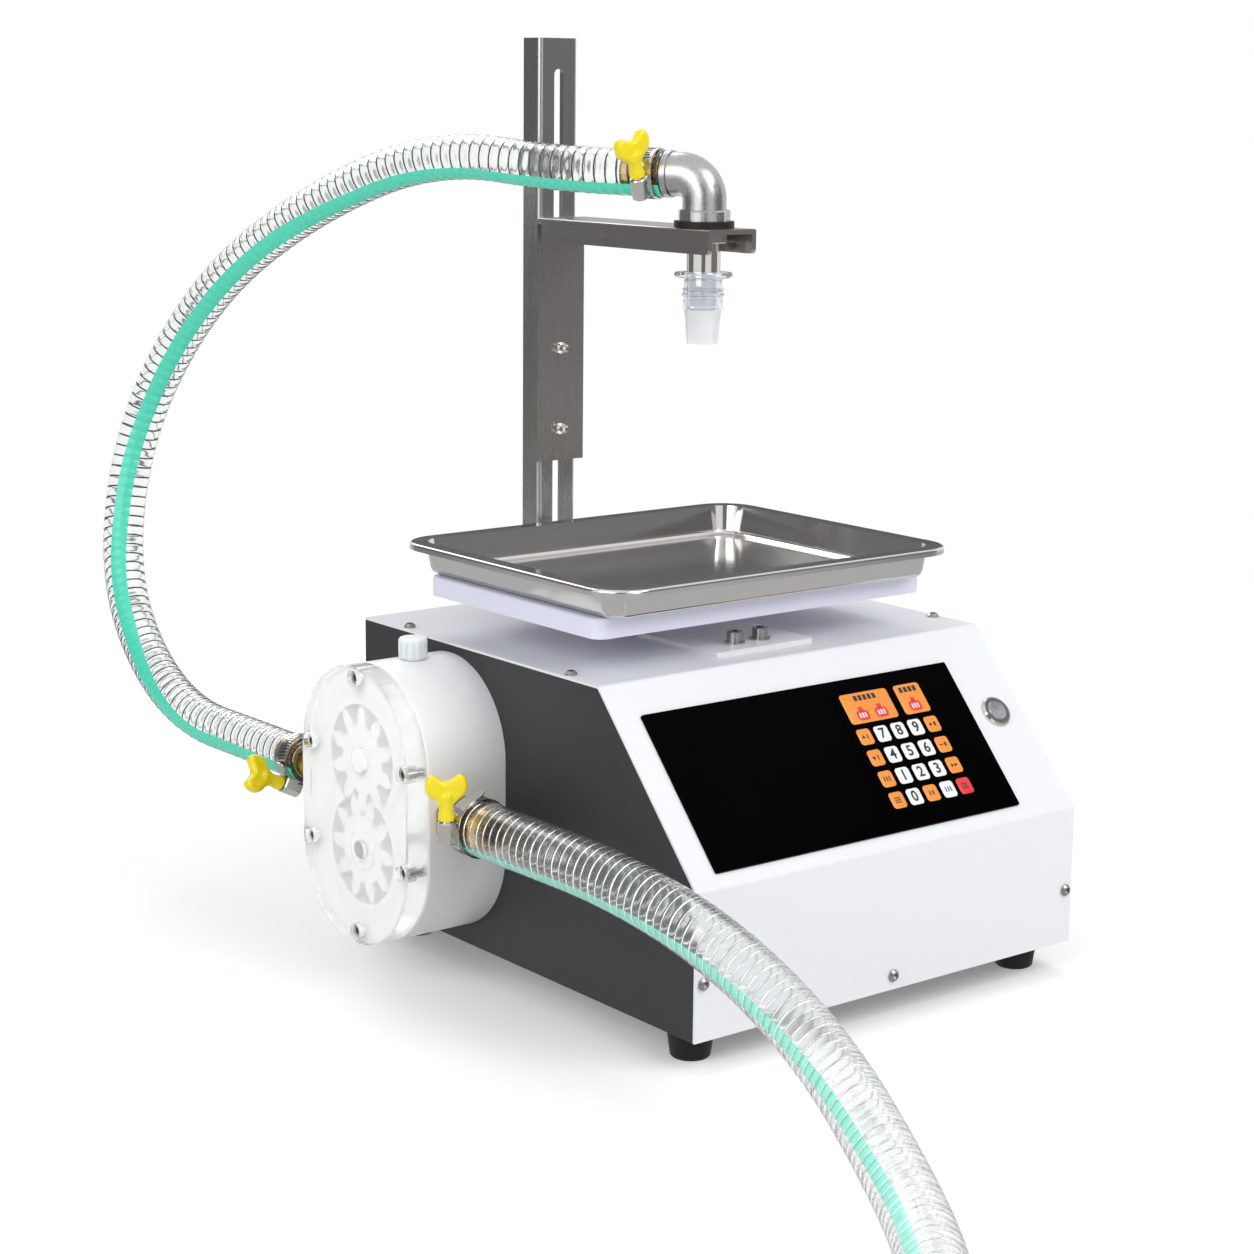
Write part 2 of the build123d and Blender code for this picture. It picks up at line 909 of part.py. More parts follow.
def make_riser():
    riser = Pos(cell_x, riser_y, cell_top) * extrude(
        RectangleRounded(riser_width, riser_length, riser_corner), platform_bottom - cell_top
    )
    for side in (-1, 1):
        x = cell_x + side * cell_screw_pitch / 2
        hole = rod(cell_screw_radius + running, riser_screw_depth)
        riser -= Pos(x, riser_y, platform_bottom - riser_screw_depth) * hole
    return riser


def make_platform():
    """Thick plastic plate under the tray, with sunk screws."""
    outline = RectangleRounded(platform_width, platform_depth, platform_corner)
    plate = Pos(platform_x, platform_y, platform_bottom) * extrude(
        outline, platform_thickness
    )
    plate = chamfer(plate.edges().group_by(Axis.Z)[-1], 0.8)
    for side in (-1, 1):
        x = cell_x + side * cell_screw_pitch / 2
        hole = rod(cell_screw_radius + hole_play, platform_thickness)
        sink = Pos(0, 0, platform_thickness - platform_screw_sink) * rod(
            cell_screw_head + hole_play, platform_screw_sink + 1
        )
        plate -= Pos(x, riser_y, platform_bottom) * (hole + sink)
    return plate


def make_platform_screws():
    screws = []
    for side in (-1, 1):
        x = cell_x + side * cell_screw_pitch / 2
        reach = platform_thickness - platform_screw_sink + platform_screw_reach
        screw = socket_screw(
            cell_screw_radius, reach, cell_screw_head, cell_screw_head_height
        )
        screws.append(Pos(x, riser_y, platform_top - platform_screw_sink) * screw)
    return Compound(screws)


def tray_pan(inset, height, base_z):
    """Drafted, round-cornered pan shape that narrows downwards."""
    outline = RectangleRounded(
        tray_width - 2 * tray_rim - 2 * inset,
        tray_depth - 2 * tray_rim - 2 * inset,
        tray_corner - tray_rim - inset,
    )
    top = Plane(origin=(tray_x, tray_y, base_z + height))
    return extrude(top * outline, -height, taper=tray_draft)


def make_tray():
    """Pressed tray: drafted walls, rounded floor edge and a rim with a rolled lip."""
    floor_z = platform_top + tray_foot
    rim_z = platform_top + tray_height
    depth = rim_z - floor_z
    outer = tray_pan(0, depth, floor_z)
    outer = fillet(outer.edges().group_by(Axis.Z)[0], tray_bottom_radius)
    shrink = tray_sheet / math.cos(math.radians(tray_draft))
    inner = tray_pan(shrink, depth, floor_z)
    inner = Pos(0, 0, tray_sheet) * inner
    inner = fillet(inner.edges().group_by(Axis.Z)[0], tray_bottom_radius - tray_sheet)
    rim_outline = RectangleRounded(tray_width, tray_depth, tray_corner)
    rim = Pos(tray_x, tray_y, rim_z - tray_lip) * extrude(rim_outline, tray_lip)
    rim = fillet(rim.edges().group_by(Axis.Z)[-1], 1.6)
    under_outline = RectangleRounded(
        tray_width - 2 * tray_sheet, tray_depth - 2 * tray_sheet, tray_corner - tray_sheet
    )
    under = extrude(under_outline, tray_lip - tray_sheet)
    rim -= Pos(tray_x, tray_y, rim_z - tray_lip) * under
    return outer + rim - inner


# Column, carriage and arm

def make_column():
    """Folded channel with a slot for the carriage, open towards the rear wall."""
    half = column_width / 2
    outline = [
        (stand_x - half, rear_inner_y),
        (stand_x - half, column_front_y),
        (stand_x + half, column_front_y),
        (stand_x + half, rear_inner_y),
    ]
    height = column_top - column_bottom
    middle = Plane(origin=(0, 0, (column_top + column_bottom) / 2))
    column = bent_sheet(middle, outline, column_sheet, bend_radius, height)
    slot = slot_cutter(slot_width, slot_top - slot_bottom, 4 * column_sheet)
    slot_z = (slot_top + slot_bottom) / 2
    column -= along((stand_x, column_front_y, slot_z), (0, -1, 0), (1, 0, 0)) * slot
    for z in (column_bolt_low, column_bolt_high):
        hole = rod(column_bolt_radius + hole_play, 4 * column_sheet)
        column -= along((stand_x, column_front_y - column_sheet, z), (0, 1, 0)) * hole
    return column


def make_column_bolts():
    """Bolts through the rear wall, with spacers that keep the channel's depth."""
    parts = []
    spacer_length = column_depth - column_sheet
    for z in (column_bolt_low, column_bolt_high):
        spacer_radius = column_bolt_radius + column_spacer_wall
        spacer = ring(spacer_radius, column_bolt_radius + running, spacer_length)
        parts.append(along((stand_x, rear_inner_y, z), (0, -1, 0)) * spacer)
        reach = sheet + column_depth + column_nut_height
        bolt = socket_screw(
            column_bolt_radius, reach, column_bolt_head, column_bolt_head_height, 1.0
        )
        parts.append(along((stand_x, rear_y, z), (0, 1, 0)) * bolt)
        nut = hex_bar(column_nut_flats, column_nut_height)
        nut -= rod(column_bolt_radius + running, column_nut_height)
        parts.append(along((stand_x, column_front_y, z), (0, -1, 0)) * nut)
    return Compound(parts)


def make_carriage():
    """Carriage plate and nozzle arm, one folded piece that slides on the column."""
    half = carriage_width / 2
    side_plane = Plane(origin=(stand_x, 0, 0), x_dir=(0, 1, 0), z_dir=(1, 0, 0))
    outline = [
        (arm_front_y, arm_top),
        (carriage_back_y, arm_top),
        (carriage_back_y, carriage_bottom),
    ]
    plate = bent_sheet(side_plane, outline, -carriage_sheet, 1.0, carriage_width)
    flange_back = carriage_front_y - arm_relief
    flange_face = make_face(Polyline(
        (arm_front_y, arm_top),
        (flange_back, arm_top),
        (flange_back, arm_bottom),
        (arm_front_y, arm_bottom),
        close=True,
    ))
    flange = extrude(flange_face, carriage_sheet)
    flange = fillet(flange.edges().filter_by(Axis.Z), arm_corner)
    flange_plane = Plane(origin=(stand_x - half, 0, 0), x_dir=(0, 1, 0), z_dir=(1, 0, 0))
    left = flange_plane.location * flange
    right = Pos(carriage_width - carriage_sheet, 0, 0) * left
    arm = plate + left + right
    for side in (-1, 1):
        outer_x = stand_x + side * half
        inner_x = stand_x + side * (half - carriage_sheet)
        arm += block(
            (inner_x, outer_x),
            (carriage_front_y, carriage_front_y + carriage_lip),
            (carriage_bottom, arm_bottom),
        )
    edges = arm.edges().filter_by(Axis.Y).filter_by_position(
        Axis.Z, arm_top - 0.1, arm_top + 0.1
    )
    arm = fillet(edges, arm_fold)
    hole = rod(nipple_radius + hole_play, 3 * carriage_sheet)
    arm -= Pos(stand_x, nozzle_y, arm_top - 2 * carriage_sheet) * hole
    for z in (carriage_screw_low, carriage_screw_high):
        hole = rod(carriage_screw_radius + running, 3 * carriage_sheet)
        place = (stand_x, carriage_front_y - carriage_sheet, z)
        arm -= along(place, (0, 1, 0)) * hole
    return arm


def make_clamp_plate():
    """Plate behind the column that the two screws pull against it."""
    back_y = column_front_y + column_sheet + seat_gap
    half = column_width / 2 - column_sheet - bend_radius - seat_gap
    plate = block(
        (stand_x - half, stand_x + half),
        (back_y, back_y + clamp_plate_thickness),
        (carriage_screw_low - clamp_plate_margin, carriage_screw_high + clamp_plate_margin),
    )
    for z in (carriage_screw_low, carriage_screw_high):
        hole = rod(carriage_screw_radius + running, clamp_plate_thickness)
        plate -= along((stand_x, back_y, z), (0, 1, 0)) * hole
    return plate


def make_carriage_screws():
    """Studs through the slot, with round noses in front and nuts behind."""
    studs = []
    back_y = column_front_y + column_sheet + seat_gap + clamp_plate_thickness
    for z in (carriage_screw_low, carriage_screw_high):
        reach = back_y + stud_tail - carriage_front_y
        stud = rod(carriage_screw_radius, reach)
        nose = Pos(0, 0, reach) * turned([
            (0, 0),
            (stud_shoulder_radius, 0),
            (stud_shoulder_radius, stud_shoulder_length),
            (carriage_screw_radius, 1.5 * stud_shoulder_length),
            (carriage_screw_radius, carriage_screw_proud - stud_nose),
            (carriage_screw_radius - stud_nose, carriage_screw_proud),
            (0, carriage_screw_proud),
        ])
        nut = Pos(0, 0, stud_tail - stud_nut_height) * hex_bar(stud_nut_flats, stud_nut_height)
        start = (stand_x, back_y + stud_tail, z)
        studs.append(along(start, (0, -1, 0)) * (stud + nose + nut))
    return Compound(studs)


# Elbow and nozzle

def make_washer():
    return Pos(stand_x, nozzle_y, arm_top) * ring(
        washer_radius, nipple_radius + hole_play, washer_thickness
    )


def make_elbow():
    """Malleable elbow with a collar below and a beaded socket towards the hose."""
    base_z = arm_top + washer_thickness
    drop = elbow_axis_z - base_z
    side = elbow_direction
    path = FilletPolyline(
        (0, 0, 0),
        (0, 0, drop),
        (side.X * elbow_reach, side.Y * elbow_reach, drop),
        radius=elbow_bend,
    )
    body = sweep(Plane.XY * Circle(elbow_radius), path=path)
    end = Vector(side.X * elbow_reach, side.Y * elbow_reach, drop)
    rim_start = end - side * elbow_rim_length
    body += along(rim_start, side) * rod(elbow_rim_radius, elbow_rim_length)
    collar = rod(elbow_collar_radius, elbow_collar_height)
    collar = chamfer(collar.edges().group_by(Axis.Z)[-1], 1.0)
    body += collar
    for angle in (0, 60, 120, 180, 240, 300):
        flat = Pos(
            elbow_collar_radius - 1.4, 0, elbow_collar_height / 2
        ) * Box(
            collar_flat_depth, collar_flat_width, elbow_collar_height
        )
        body += Rot(0, 0, angle) * flat
    bore = sweep(Plane.XY * Circle(nipple_bore), path=path)
    body -= bore
    thread = rod(nipple_radius + running, elbow_thread_depth)
    body -= thread
    socket_radius = outlet_radius - outlet_wall - elbow_socket_step
    barb_bore = along(end - side * elbow_thread_depth, side) * rod(
        socket_radius, elbow_thread_depth
    )
    body -= barb_bore
    return Pos(stand_x, nozzle_y, base_z) * body


def make_nipple():
    """Threaded steel tube that carries the elbow on the arm and the nozzle below it."""
    top = arm_top + washer_thickness + nipple_seat
    tube = turned([
        (nipple_bore, nipple_tail),
        (nipple_tail_radius, nipple_tail),
        (nipple_tail_radius, nipple_bottom),
        (nipple_radius, nipple_bottom),
        (nipple_radius, top),
        (nipple_bore, top),
    ])
    return Pos(stand_x, nozzle_y, 0) * tube


def make_lock_nut():
    z = arm_top - carriage_sheet - lock_nut_height
    nut = hex_bar(lock_nut_flats, lock_nut_height)
    nut -= rod(nipple_radius + running, lock_nut_height)
    nut = chamfer(nut.edges().group_by(Axis.Z)[0].filter_by(GeomType.LINE), 0.8)
    return Pos(stand_x, nozzle_y, z) * nut


def make_nozzle_adapter():
    """Clear sleeve with a flange above and two rings round it."""
    top = nipple_bottom
    bore = nipple_tail_radius + running
    middle = top - adapter_flange_height - adapter_ring_drop
    ring_radius = adapter_radius + adapter_ring_proud
    profile = [
        (bore, adapter_bottom),
        (adapter_radius, adapter_bottom),
        (adapter_radius, middle - adapter_ring_height),
        (ring_radius, middle - adapter_ring_height),
        (ring_radius, middle),
        (adapter_radius - adapter_step, middle),
        (adapter_radius - adapter_step, top - adapter_flange_height),
        (adapter_flange_radius, top - adapter_flange_height),
        (adapter_flange_radius, top),
        (bore, top),
    ]
    return Pos(stand_x, nozzle_y, 0) * turned(profile)


def tip_shape(inset, top_z, bottom_z):
    """Round above and narrowing to a rounded mouth below."""
    top = Plane(origin=(0, 0, top_z)) * Circle(tip_top_radius - inset)
    mouth = RectangleRounded(tip_width - 2 * inset, tip_depth - 2 * inset, 3.5 - inset)
    bottom = Plane(origin=(0, 0, bottom_z)) * mouth
    return loft([top.faces()[0], bottom.faces()[0]])


def make_nozzle_tip():
    """Soft spout that keeps the honey from dripping."""
    tip = tip_shape(0, adapter_bottom, tip_bottom)
    hollow = tip_shape(tip_wall, adapter_bottom, tip_bottom)
    return Pos(stand_x, nozzle_y, 0) * Rot(0, 0, elbow_turn) * (tip - hollow)


# Gear pump

def pump_outline(margin=0.0):
    """Obround of the pump in the plane of its gears, local X along the machine's Y."""
    return SlotCenterToCenter(gear_spacing, 2 * (pump_radius + margin), rotation=90)


def pump_location(x):
    """Place on the pump's centre line with local Z pointing away from the housing."""
    return Plane(origin=(x, pump_y, pump_z), x_dir=(0, -1, 0), z_dir=(-1, 0, 0)).location


def pump_screw_places():
    """Three screws round each end of the obround, in the pump's plane."""
    places = []
    for side in (-1, 1):
        centre = side * gear_spacing / 2
        for angle in (pump_screw_angle, 90.0, 180.0 - pump_screw_angle):
            u = pump_screw_circle * math.cos(math.radians(angle))
            v = centre + side * pump_screw_circle * math.sin(math.radians(angle))
            places.append((u, v))
    return places


def chamber_sketch(margin):
    """Two overlapping circles that the gears turn in."""
    radius = gear_outer_radius + margin
    upper = Pos(0, gear_spacing / 2) * Circle(radius)
    lower = Pos(0, -gear_spacing / 2) * Circle(radius)
    return upper + lower


def make_pump_body():
    """Thick white block with the gear chamber, ports and shaft seats."""
    body = extrude(pump_outline(), pump_body_depth)
    body = fillet(body.edges().group_by(Axis.Z)[-1], pump_edge)
    chamber = Pos(0, 0, pump_body_depth - chamber_depth) * extrude(
        chamber_sketch(gear_clearance), chamber_depth
    )
    body -= chamber
    groove = chamber_sketch(seal_offset + seal_cord) - chamber_sketch(seal_offset)
    body -= Pos(0, 0, pump_body_depth - seal_cord) * extrude(groove, seal_cord)
    for u, v in pump_screw_places():
        depth = pump_screw_length - pump_cover_depth + pump_screw_head_height
        hole = Pos(u, v, pump_body_depth - depth) * rod(pump_screw_radius + running, depth)
        body -= hole
    lower = -gear_spacing / 2
    upper = gear_spacing / 2
    body -= Pos(0, lower, 0) * rod(drive_shaft_radius + running, pump_body_depth)
    body -= Pos(0, lower, 0) * rod(shaft_seal_radius + running, shaft_seal_length)
    seat_start = pump_body_depth - chamber_depth - bush_length
    body -= Pos(0, lower, seat_start) * rod(bush_radius + running, bush_length)
    journal = idler_journal_length + side_clearance
    pocket = rod(idler_journal_radius + running, journal)
    body -= Pos(0, upper, pump_body_depth - chamber_depth - journal) * pocket
    for u_side in (-1, 1):
        for v_side in (-1, 1):
            hole = rod(pillar_screw_radius + running, pillar_stud_seat)
            body -= Pos(u_side * pillar_spread, lower + v_side * pillar_spread, 0) * hole
    body = pump_location(pump_back_x) * body
    reach = 2 * pump_radius + 4
    port = along((port_x, pump_y - reach / 2, pump_z), (0, 1, 0)) * rod(port_radius, reach)
    body -= port
    for side in (-1, 1):
        face_y = pump_y + side * pump_radius
        thread = rod(port_thread_radius + running, port_thread_depth)
        start = face_y - side * port_thread_depth
        body -= along((port_x, start, pump_z), (0, side, 0)) * thread
    plug_seat_z = idler_z + pump_radius
    hole = rod(plug_stem_radius + running, plug_stem_length + 1)
    body -= Pos(plug_x, pump_y, plug_seat_z - plug_stem_length - 1) * hole
    flat = rod(plug_radius + 1.0, 3)
    body -= Pos(plug_x, pump_y, plug_seat_z - plug_seat_depth) * flat
    return body


def make_pump_seal():
    """Flat sealing ring in the groove round the chamber."""
    slack = running
    outline = chamber_sketch(seal_offset + seal_cord - slack)
    outline -= chamber_sketch(seal_offset + slack)
    return pump_location(pump_front_x + seal_cord) * extrude(outline, seal_cord)


def make_pump_cover():
    """Clear end cover with sunk screw heads and blind shaft seats."""
    cover = extrude(pump_outline(), pump_cover_depth)
    cover = chamfer(cover.edges().group_by(Axis.Z)[-1], 1.0)
    sink = pump_screw_head_height + pump_screw_recess
    for u, v in pump_screw_places():
        cover -= Pos(u, v, 0) * rod(pump_screw_radius + hole_play, pump_cover_depth)
        head = rod(pump_screw_head + hole_play, sink)
        cover -= Pos(u, v, pump_cover_depth - sink) * head
    journal = idler_journal_length + side_clearance
    cover -= Pos(0, gear_spacing / 2, 0) * rod(idler_journal_radius + running, journal)
    hub = drive_hub_height + side_clearance
    cover -= Pos(0, -gear_spacing / 2, 0) * rod(drive_hub_radius + hole_play, hub)
    shaft = idler_journal_length + side_clearance
    cover -= Pos(0, -gear_spacing / 2, 0) * rod(drive_shaft_radius + running, shaft)
    return pump_location(pump_front_x) * cover


def make_pump_screws():
    screws = []
    seat = pump_cover_depth - pump_screw_head_height - pump_screw_recess
    for u, v in pump_screw_places():
        screw = socket_screw(
            pump_screw_radius, pump_screw_length - pump_screw_head_height,
            pump_screw_head, pump_screw_head_height
        )
        screws.append(pump_location(pump_front_x) * Pos(u, v, seat) * screw)
    return Compound(screws)


def involute(angle):
    """Involute function of a pressure angle in radians."""
    return math.tan(angle) - angle


def flank_point(radius, side):
    """Point of a tooth flank at a radius, for a tooth that is centred on local +Y."""
    pressure = math.radians(gear_pressure_angle)
    base_radius = gear_pitch_radius * math.cos(pressure)
    local_pressure = math.acos(min(base_radius / radius, 1.0))
    half_angle = math.pi / (2 * gear_teeth) - gear_backlash / (4 * gear_pitch_radius)
    half_angle += involute(pressure) - involute(local_pressure)
    return (side * radius * math.sin(half_angle), radius * math.cos(half_angle))


def gear_sketch():
    """Gear outline with involute flanks, one tooth centred on local +Y."""
    pressure = math.radians(gear_pressure_angle)
    base_radius = gear_pitch_radius * math.cos(pressure)
    span = gear_outer_radius - base_radius
    radii = [base_radius + span * step / 4 for step in range(5)]
    right = [flank_point(radius, 1) for radius in radii]
    left = [flank_point(radius, -1) for radius in radii]
    sunk = (gear_root_radius - 1.0) / base_radius
    right_foot = (right[0][0] * sunk, right[0][1] * sunk)
    left_foot = (-right_foot[0], right_foot[1])
    tooth = make_face([
        Spline(*right),
        ThreePointArc(right[-1], (0, gear_outer_radius), left[-1]),
        Spline(*reversed(left)),
        Line(left[0], left_foot),
        Line(left_foot, right_foot),
        Line(right_foot, right[0]),
    ])
    gear = Circle(gear_root_radius)
    for index in range(gear_teeth):
        gear += Rot(0, 0, index * 360 / gear_teeth) * tooth
    return gear


def make_drive_gear():
    """Lower gear with a raised hub, keyed on the shaft."""
    gear = extrude(gear_sketch(), gear_width)
    gear += Pos(0, 0, gear_width) * rod(drive_hub_radius, drive_hub_height)
    gear -= rod(drive_shaft_radius + running, gear_width + drive_hub_height)
    half_tooth = 180 / gear_teeth
    place = pump_location(gear_back_x) * Pos(0, -gear_spacing / 2, 0)
    return place * Rot(0, 0, half_tooth) * gear


def make_idler_gear():
    """Upper gear with a journal at each end."""
    gear = extrude(gear_sketch(), gear_width)
    journal = rod(idler_journal_radius, gear_width + 2 * idler_journal_length)
    gear += Pos(0, 0, -idler_journal_length) * journal
    half_turn = 180.0
    return pump_location(gear_back_x) * Pos(0, gear_spacing / 2, 0) * Rot(0, 0, half_turn) * gear


def make_drive_shaft():
    """Pump shaft and, past the coupling, the gear head's output shaft."""
    front = pump_front_x - idler_journal_length
    back = pump_back_x + sheet + coupling_length / 2
    shaft = rod(drive_shaft_radius, back - front)
    shaft = chamfer(shaft.edges(), 0.6)
    output_start = back + 1.0
    output = rod(gearbox_shaft_radius, gearbox_x + gearbox_shaft_seat - 1.0 - output_start)
    return Compound([
        along((front, pump_y, drive_z), (1, 0, 0)) * shaft,
        along((output_start, pump_y, drive_z), (1, 0, 0)) * output,
    ])


def make_drive_bush():
    bush = ring(bush_radius, drive_shaft_radius + running, bush_length)
    return along((chamber_back_x, pump_y, drive_z), (1, 0, 0)) * bush


def make_shaft_seal():
    seal = ring(shaft_seal_radius, drive_shaft_radius + running, shaft_seal_length)
    return along((pump_back_x - shaft_seal_length, pump_y, drive_z), (1, 0, 0)) * seal


def make_relief_plug():
    """Knurled plug that sets the pump's relief valve."""
    seat_z = idler_z + pump_radius - plug_seat_depth
    head = turned([
        (0, 0),
        (plug_radius - plug_undercut, 0),
        (plug_radius - plug_undercut, plug_undercut),
        (plug_radius, plug_undercut),
        (plug_radius, plug_height - 1.0),
        (plug_radius - 1.0, plug_height),
        (0, plug_height),
    ])
    groove = Pos(
        plug_radius + plug_groove_offset, 0, plug_height / 2 + plug_undercut
    ) * Cylinder(plug_groove, plug_height)
    for index in range(plug_grooves):
        head -= Rot(0, 0, index * 360 / plug_grooves) * groove
    stem = Pos(0, 0, -plug_stem_length) * rod(plug_stem_radius, plug_stem_length)
    return Pos(plug_x, pump_y, seat_z + seat_gap) * (head + stem)


# Drive train inside the housing

def make_pillars():
    """Four pillars with the screws that tie gear motor, side wall and pump together."""
    parts = []
    for y, z in pillar_places():
        pillar = ring(pillar_radius, pillar_screw_radius + running, pillar_length)
        parts.append(along((pump_back_x + sheet, y, z), (1, 0, 0)) * pillar)
        reach = pillar_length + sheet + 2 * (pillar_stud_seat - 1)
        stud = rod(pillar_screw_radius, reach)
        start = pump_back_x - pillar_stud_seat + 1
        parts.append(along((start, y, z), (1, 0, 0)) * stud)
    return Compound(parts)


def make_gearbox():
    """Square gear head with the seat of its output shaft towards the pump."""
    outline = RectangleRounded(gearbox_size, gearbox_size, gearbox_corner)
    case = extrude(outline, gearbox_length)
    case -= rod(gearbox_shaft_radius + running, gearbox_shaft_seat)
    for y, z in pillar_places():
        stud = rod(pillar_screw_radius + running, pillar_stud_seat)
        case -= Pos(z - drive_z, y - pump_y, 0) * stud
    return along((gearbox_x, pump_y, drive_z), (1, 0, 0)) * case


def make_motor():
    start = gearbox_x + gearbox_length
    can = rod(motor_radius, motor_length)
    can = fillet(can.edges().group_by(Axis.Z)[-1], 3)
    return along((start, pump_y, drive_z), (1, 0, 0)) * can


def make_coupling():
    """Sleeve that joins the gear head to the pump shaft."""
    start = pump_back_x + sheet + coupling_gap
    middle = coupling_length / 2 - coupling_gap
    sleeve = rod(coupling_radius, coupling_length)
    sleeve -= rod(drive_shaft_radius + running, middle)
    sleeve -= Pos(0, 0, middle) * rod(gearbox_shaft_radius + running, coupling_length)
    return along((start, pump_y, drive_z), (1, 0, 0)) * sleeve


# Hose fittings, clamps and hoses

def barbed_fitting(hose_inner, hex_start, barb_start):
    """Fitting along local Z: thread in the port, hexagon, neck and barbed tail."""
    body = turned([
        (fitting_bore, -port_thread_depth + 1),
        (port_thread_radius, -port_thread_depth + 1),
        (port_thread_radius, hex_start),
        (hose_inner - barb_relief, hex_start),
        (hose_inner - barb_relief, barb_start),
        (fitting_bore, barb_start),
    ])
    body += Pos(0, 0, hex_start) * hex_bar(hex_flats, hex_length)
    body -= Pos(0, 0, hex_start) * rod(fitting_bore, hex_length)
    step = barb_length / barb_rings
    profile = [(fitting_bore, barb_start)]
    for index in range(barb_rings):
        z = barb_start + index * step
        profile.append((hose_inner - running, z))
        profile.append((hose_inner - 2 * barb_relief, z + step))
    profile.append((fitting_bore, barb_start + barb_length))
    return body + turned(profile)


def make_inlet_fitting():
    face_y = pump_y - pump_radius
    exposed = face_y - inlet_hose_start_y
    fitting = barbed_fitting(inlet_radius - inlet_wall, inlet_hex_start, exposed)
    return along((port_x, face_y, pump_z), (0, -1, 0)) * fitting


def make_outlet_fitting():
    face_y = pump_y + pump_radius
    exposed = outlet_hose_start_y - face_y
    fitting = barbed_fitting(outlet_radius - outlet_wall, outlet_hex_start, exposed)
    return along((port_x, face_y, pump_z), (0, 1, 0)) * fitting


def make_elbow_barb():
    """Barbed tail screwed into the elbow's socket."""
    inner = outlet_radius - outlet_wall
    start = 1.0
    step = barb_length / barb_rings
    profile = [
        (inner - fitting_wall, -elbow_socket_depth),
        (inner - elbow_socket_step - running, -elbow_socket_depth),
        (inner - elbow_socket_step - running, start),
    ]
    for index in range(barb_rings):
        z = start + index * step
        profile.append((inner - running, z))
        profile.append((inner - 2 * barb_relief, z + step))
    profile.append((inner - fitting_wall, start + barb_length))
    end = Vector(stand_x, nozzle_y, elbow_axis_z) + elbow_direction * elbow_reach
    return along(end, elbow_direction) * turned(profile)


def clamp_frame(centre, axis, outward):
    """Frame of a hose clamp: local Z along the hose, local X towards its screw."""
    return Plane(origin=centre, x_dir=outward, z_dir=axis).location


def make_clamp_band(hose_radius):
    """Steel band with its screw housing and the free end of the band."""
    inner = hose_radius + band_gap
    outer = inner + band_thickness
    band = Pos(0, 0, -band_width / 2) * ring(outer, inner, band_width)
    centre_x = outer + worm_offset
    half_height = clamp_housing_height / 2
    housing = Pos(centre_x - clamp_housing_sink, 0, 0) * Box(
        clamp_housing_height, clamp_housing_length, band_width + clamp_housing_overlap
    )
    housing = fillet(
        housing.edges().filter_by(Axis.Y).sort_by(Axis.X)[-2:], half_height * 0.7
    )
    housing -= Pos(0, 0, -band_width) * rod(outer - 0.02, 2 * band_width)
    worm_hole = rod(worm_radius + running, clamp_housing_length + 2)
    place = Plane(
        origin=(centre_x, -clamp_housing_length / 2 - 1, 0), z_dir=(0, 1, 0)
    ).location
    housing -= place * worm_hole
    tail_radius = outer + 0.1
    tail_outer = CenterArc(
        (0, 0), tail_radius + band_thickness, tail_start_angle, tail_sweep
    )
    tail_end = tail_outer @ 1
    direction = tail_outer % 1
    tip = tail_end + direction * tail_tip
    tail_inner = CenterArc((0, 0), tail_radius, tail_start_angle, tail_sweep)
    inner_end = tail_inner @ 1
    inner_tip = inner_end + direction * tail_tip
    face = make_face([
        tail_outer,
        Line(tail_end, tip),
        Line(tip, inner_tip),
        Line(inner_tip, inner_end),
        tail_inner,
        Line(tail_inner @ 0, tail_outer @ 0),
    ])
    tail = extrude(face, band_width / 2 - 0.4, both=True)
    joint = Rot(0, 0, band_joint_angle) * Pos(outer, 0, 0) * Box(
        band_joint_height, band_joint_length, band_width - 1
    )
    inside = Pos(0, 0, -band_width) * rod(inner, 2 * band_width)
    return band + housing + tail + joint - inside


def corners_at(face, u, v):
    """The corners of a mirrored flat outline that lie at u and v, on both sides."""
    return [
        corner for corner in face.vertices()
        if abs(abs(corner.X) - abs(u)) < 0.05 and abs(corner.Y - v) < 0.05
    ]


def make_clamp_key():
    """Worm screw with a butterfly key: a round stem and two rounded wings."""
    worm = rod(worm_radius, clamp_housing_length + key_gap + 1)
    stem_start = clamp_housing_length + key_gap
    stem = Pos(0, 0, stem_start) * turned([
        (0, 0),
        (key_stem_radius - 0.5, 0),
        (key_stem_radius, 0.6),
        (key_stem_radius - 0.6, key_stem_length),
        (0, key_stem_length),
    ])
    wing = key_head_width / 2
    base = stem_start + key_stem_length - 2
    top = base + key_head_height
    hip = key_stem_radius - 0.6
    half_outline = [
        (hip, base - 1),
        (hip, base + 1),
        (wing, base + key_head_height * 0.42),
        (wing * 0.92, top),
        (wing * 0.45, top - 0.5),
        (0, top - key_head_height * 0.28),
    ]
    mirrored = [(-u, v) for u, v in reversed(half_outline[:-1])]
    face = make_face(Polyline(*half_outline, *mirrored, close=True))
    for index, radius in ((2, key_shoulder), (3, key_tip), (4, key_tip), (5, key_saddle)):
        corner = half_outline[index]
        face = fillet(corners_at(face, *corner), radius)
    wings = extrude(Plane.XZ * face, key_head_thickness / 2, both=True)
    return worm + stem + wings


def key_place(centre, axis, outward, hose_radius):
    """Place of a clamp's key: local Z along its screw, its wings facing the operator."""
    reach = hose_radius + band_gap + band_thickness + worm_offset
    tangent = Vector(*axis).cross(Vector(*outward)).normalized()
    out = Vector(*outward).normalized()
    origin = Vector(*centre) + out * reach - tangent * (clamp_housing_length / 2)
    wings = tangent.cross(Vector(*key_facing))
    return Plane(origin=origin, x_dir=wings, z_dir=tangent).location


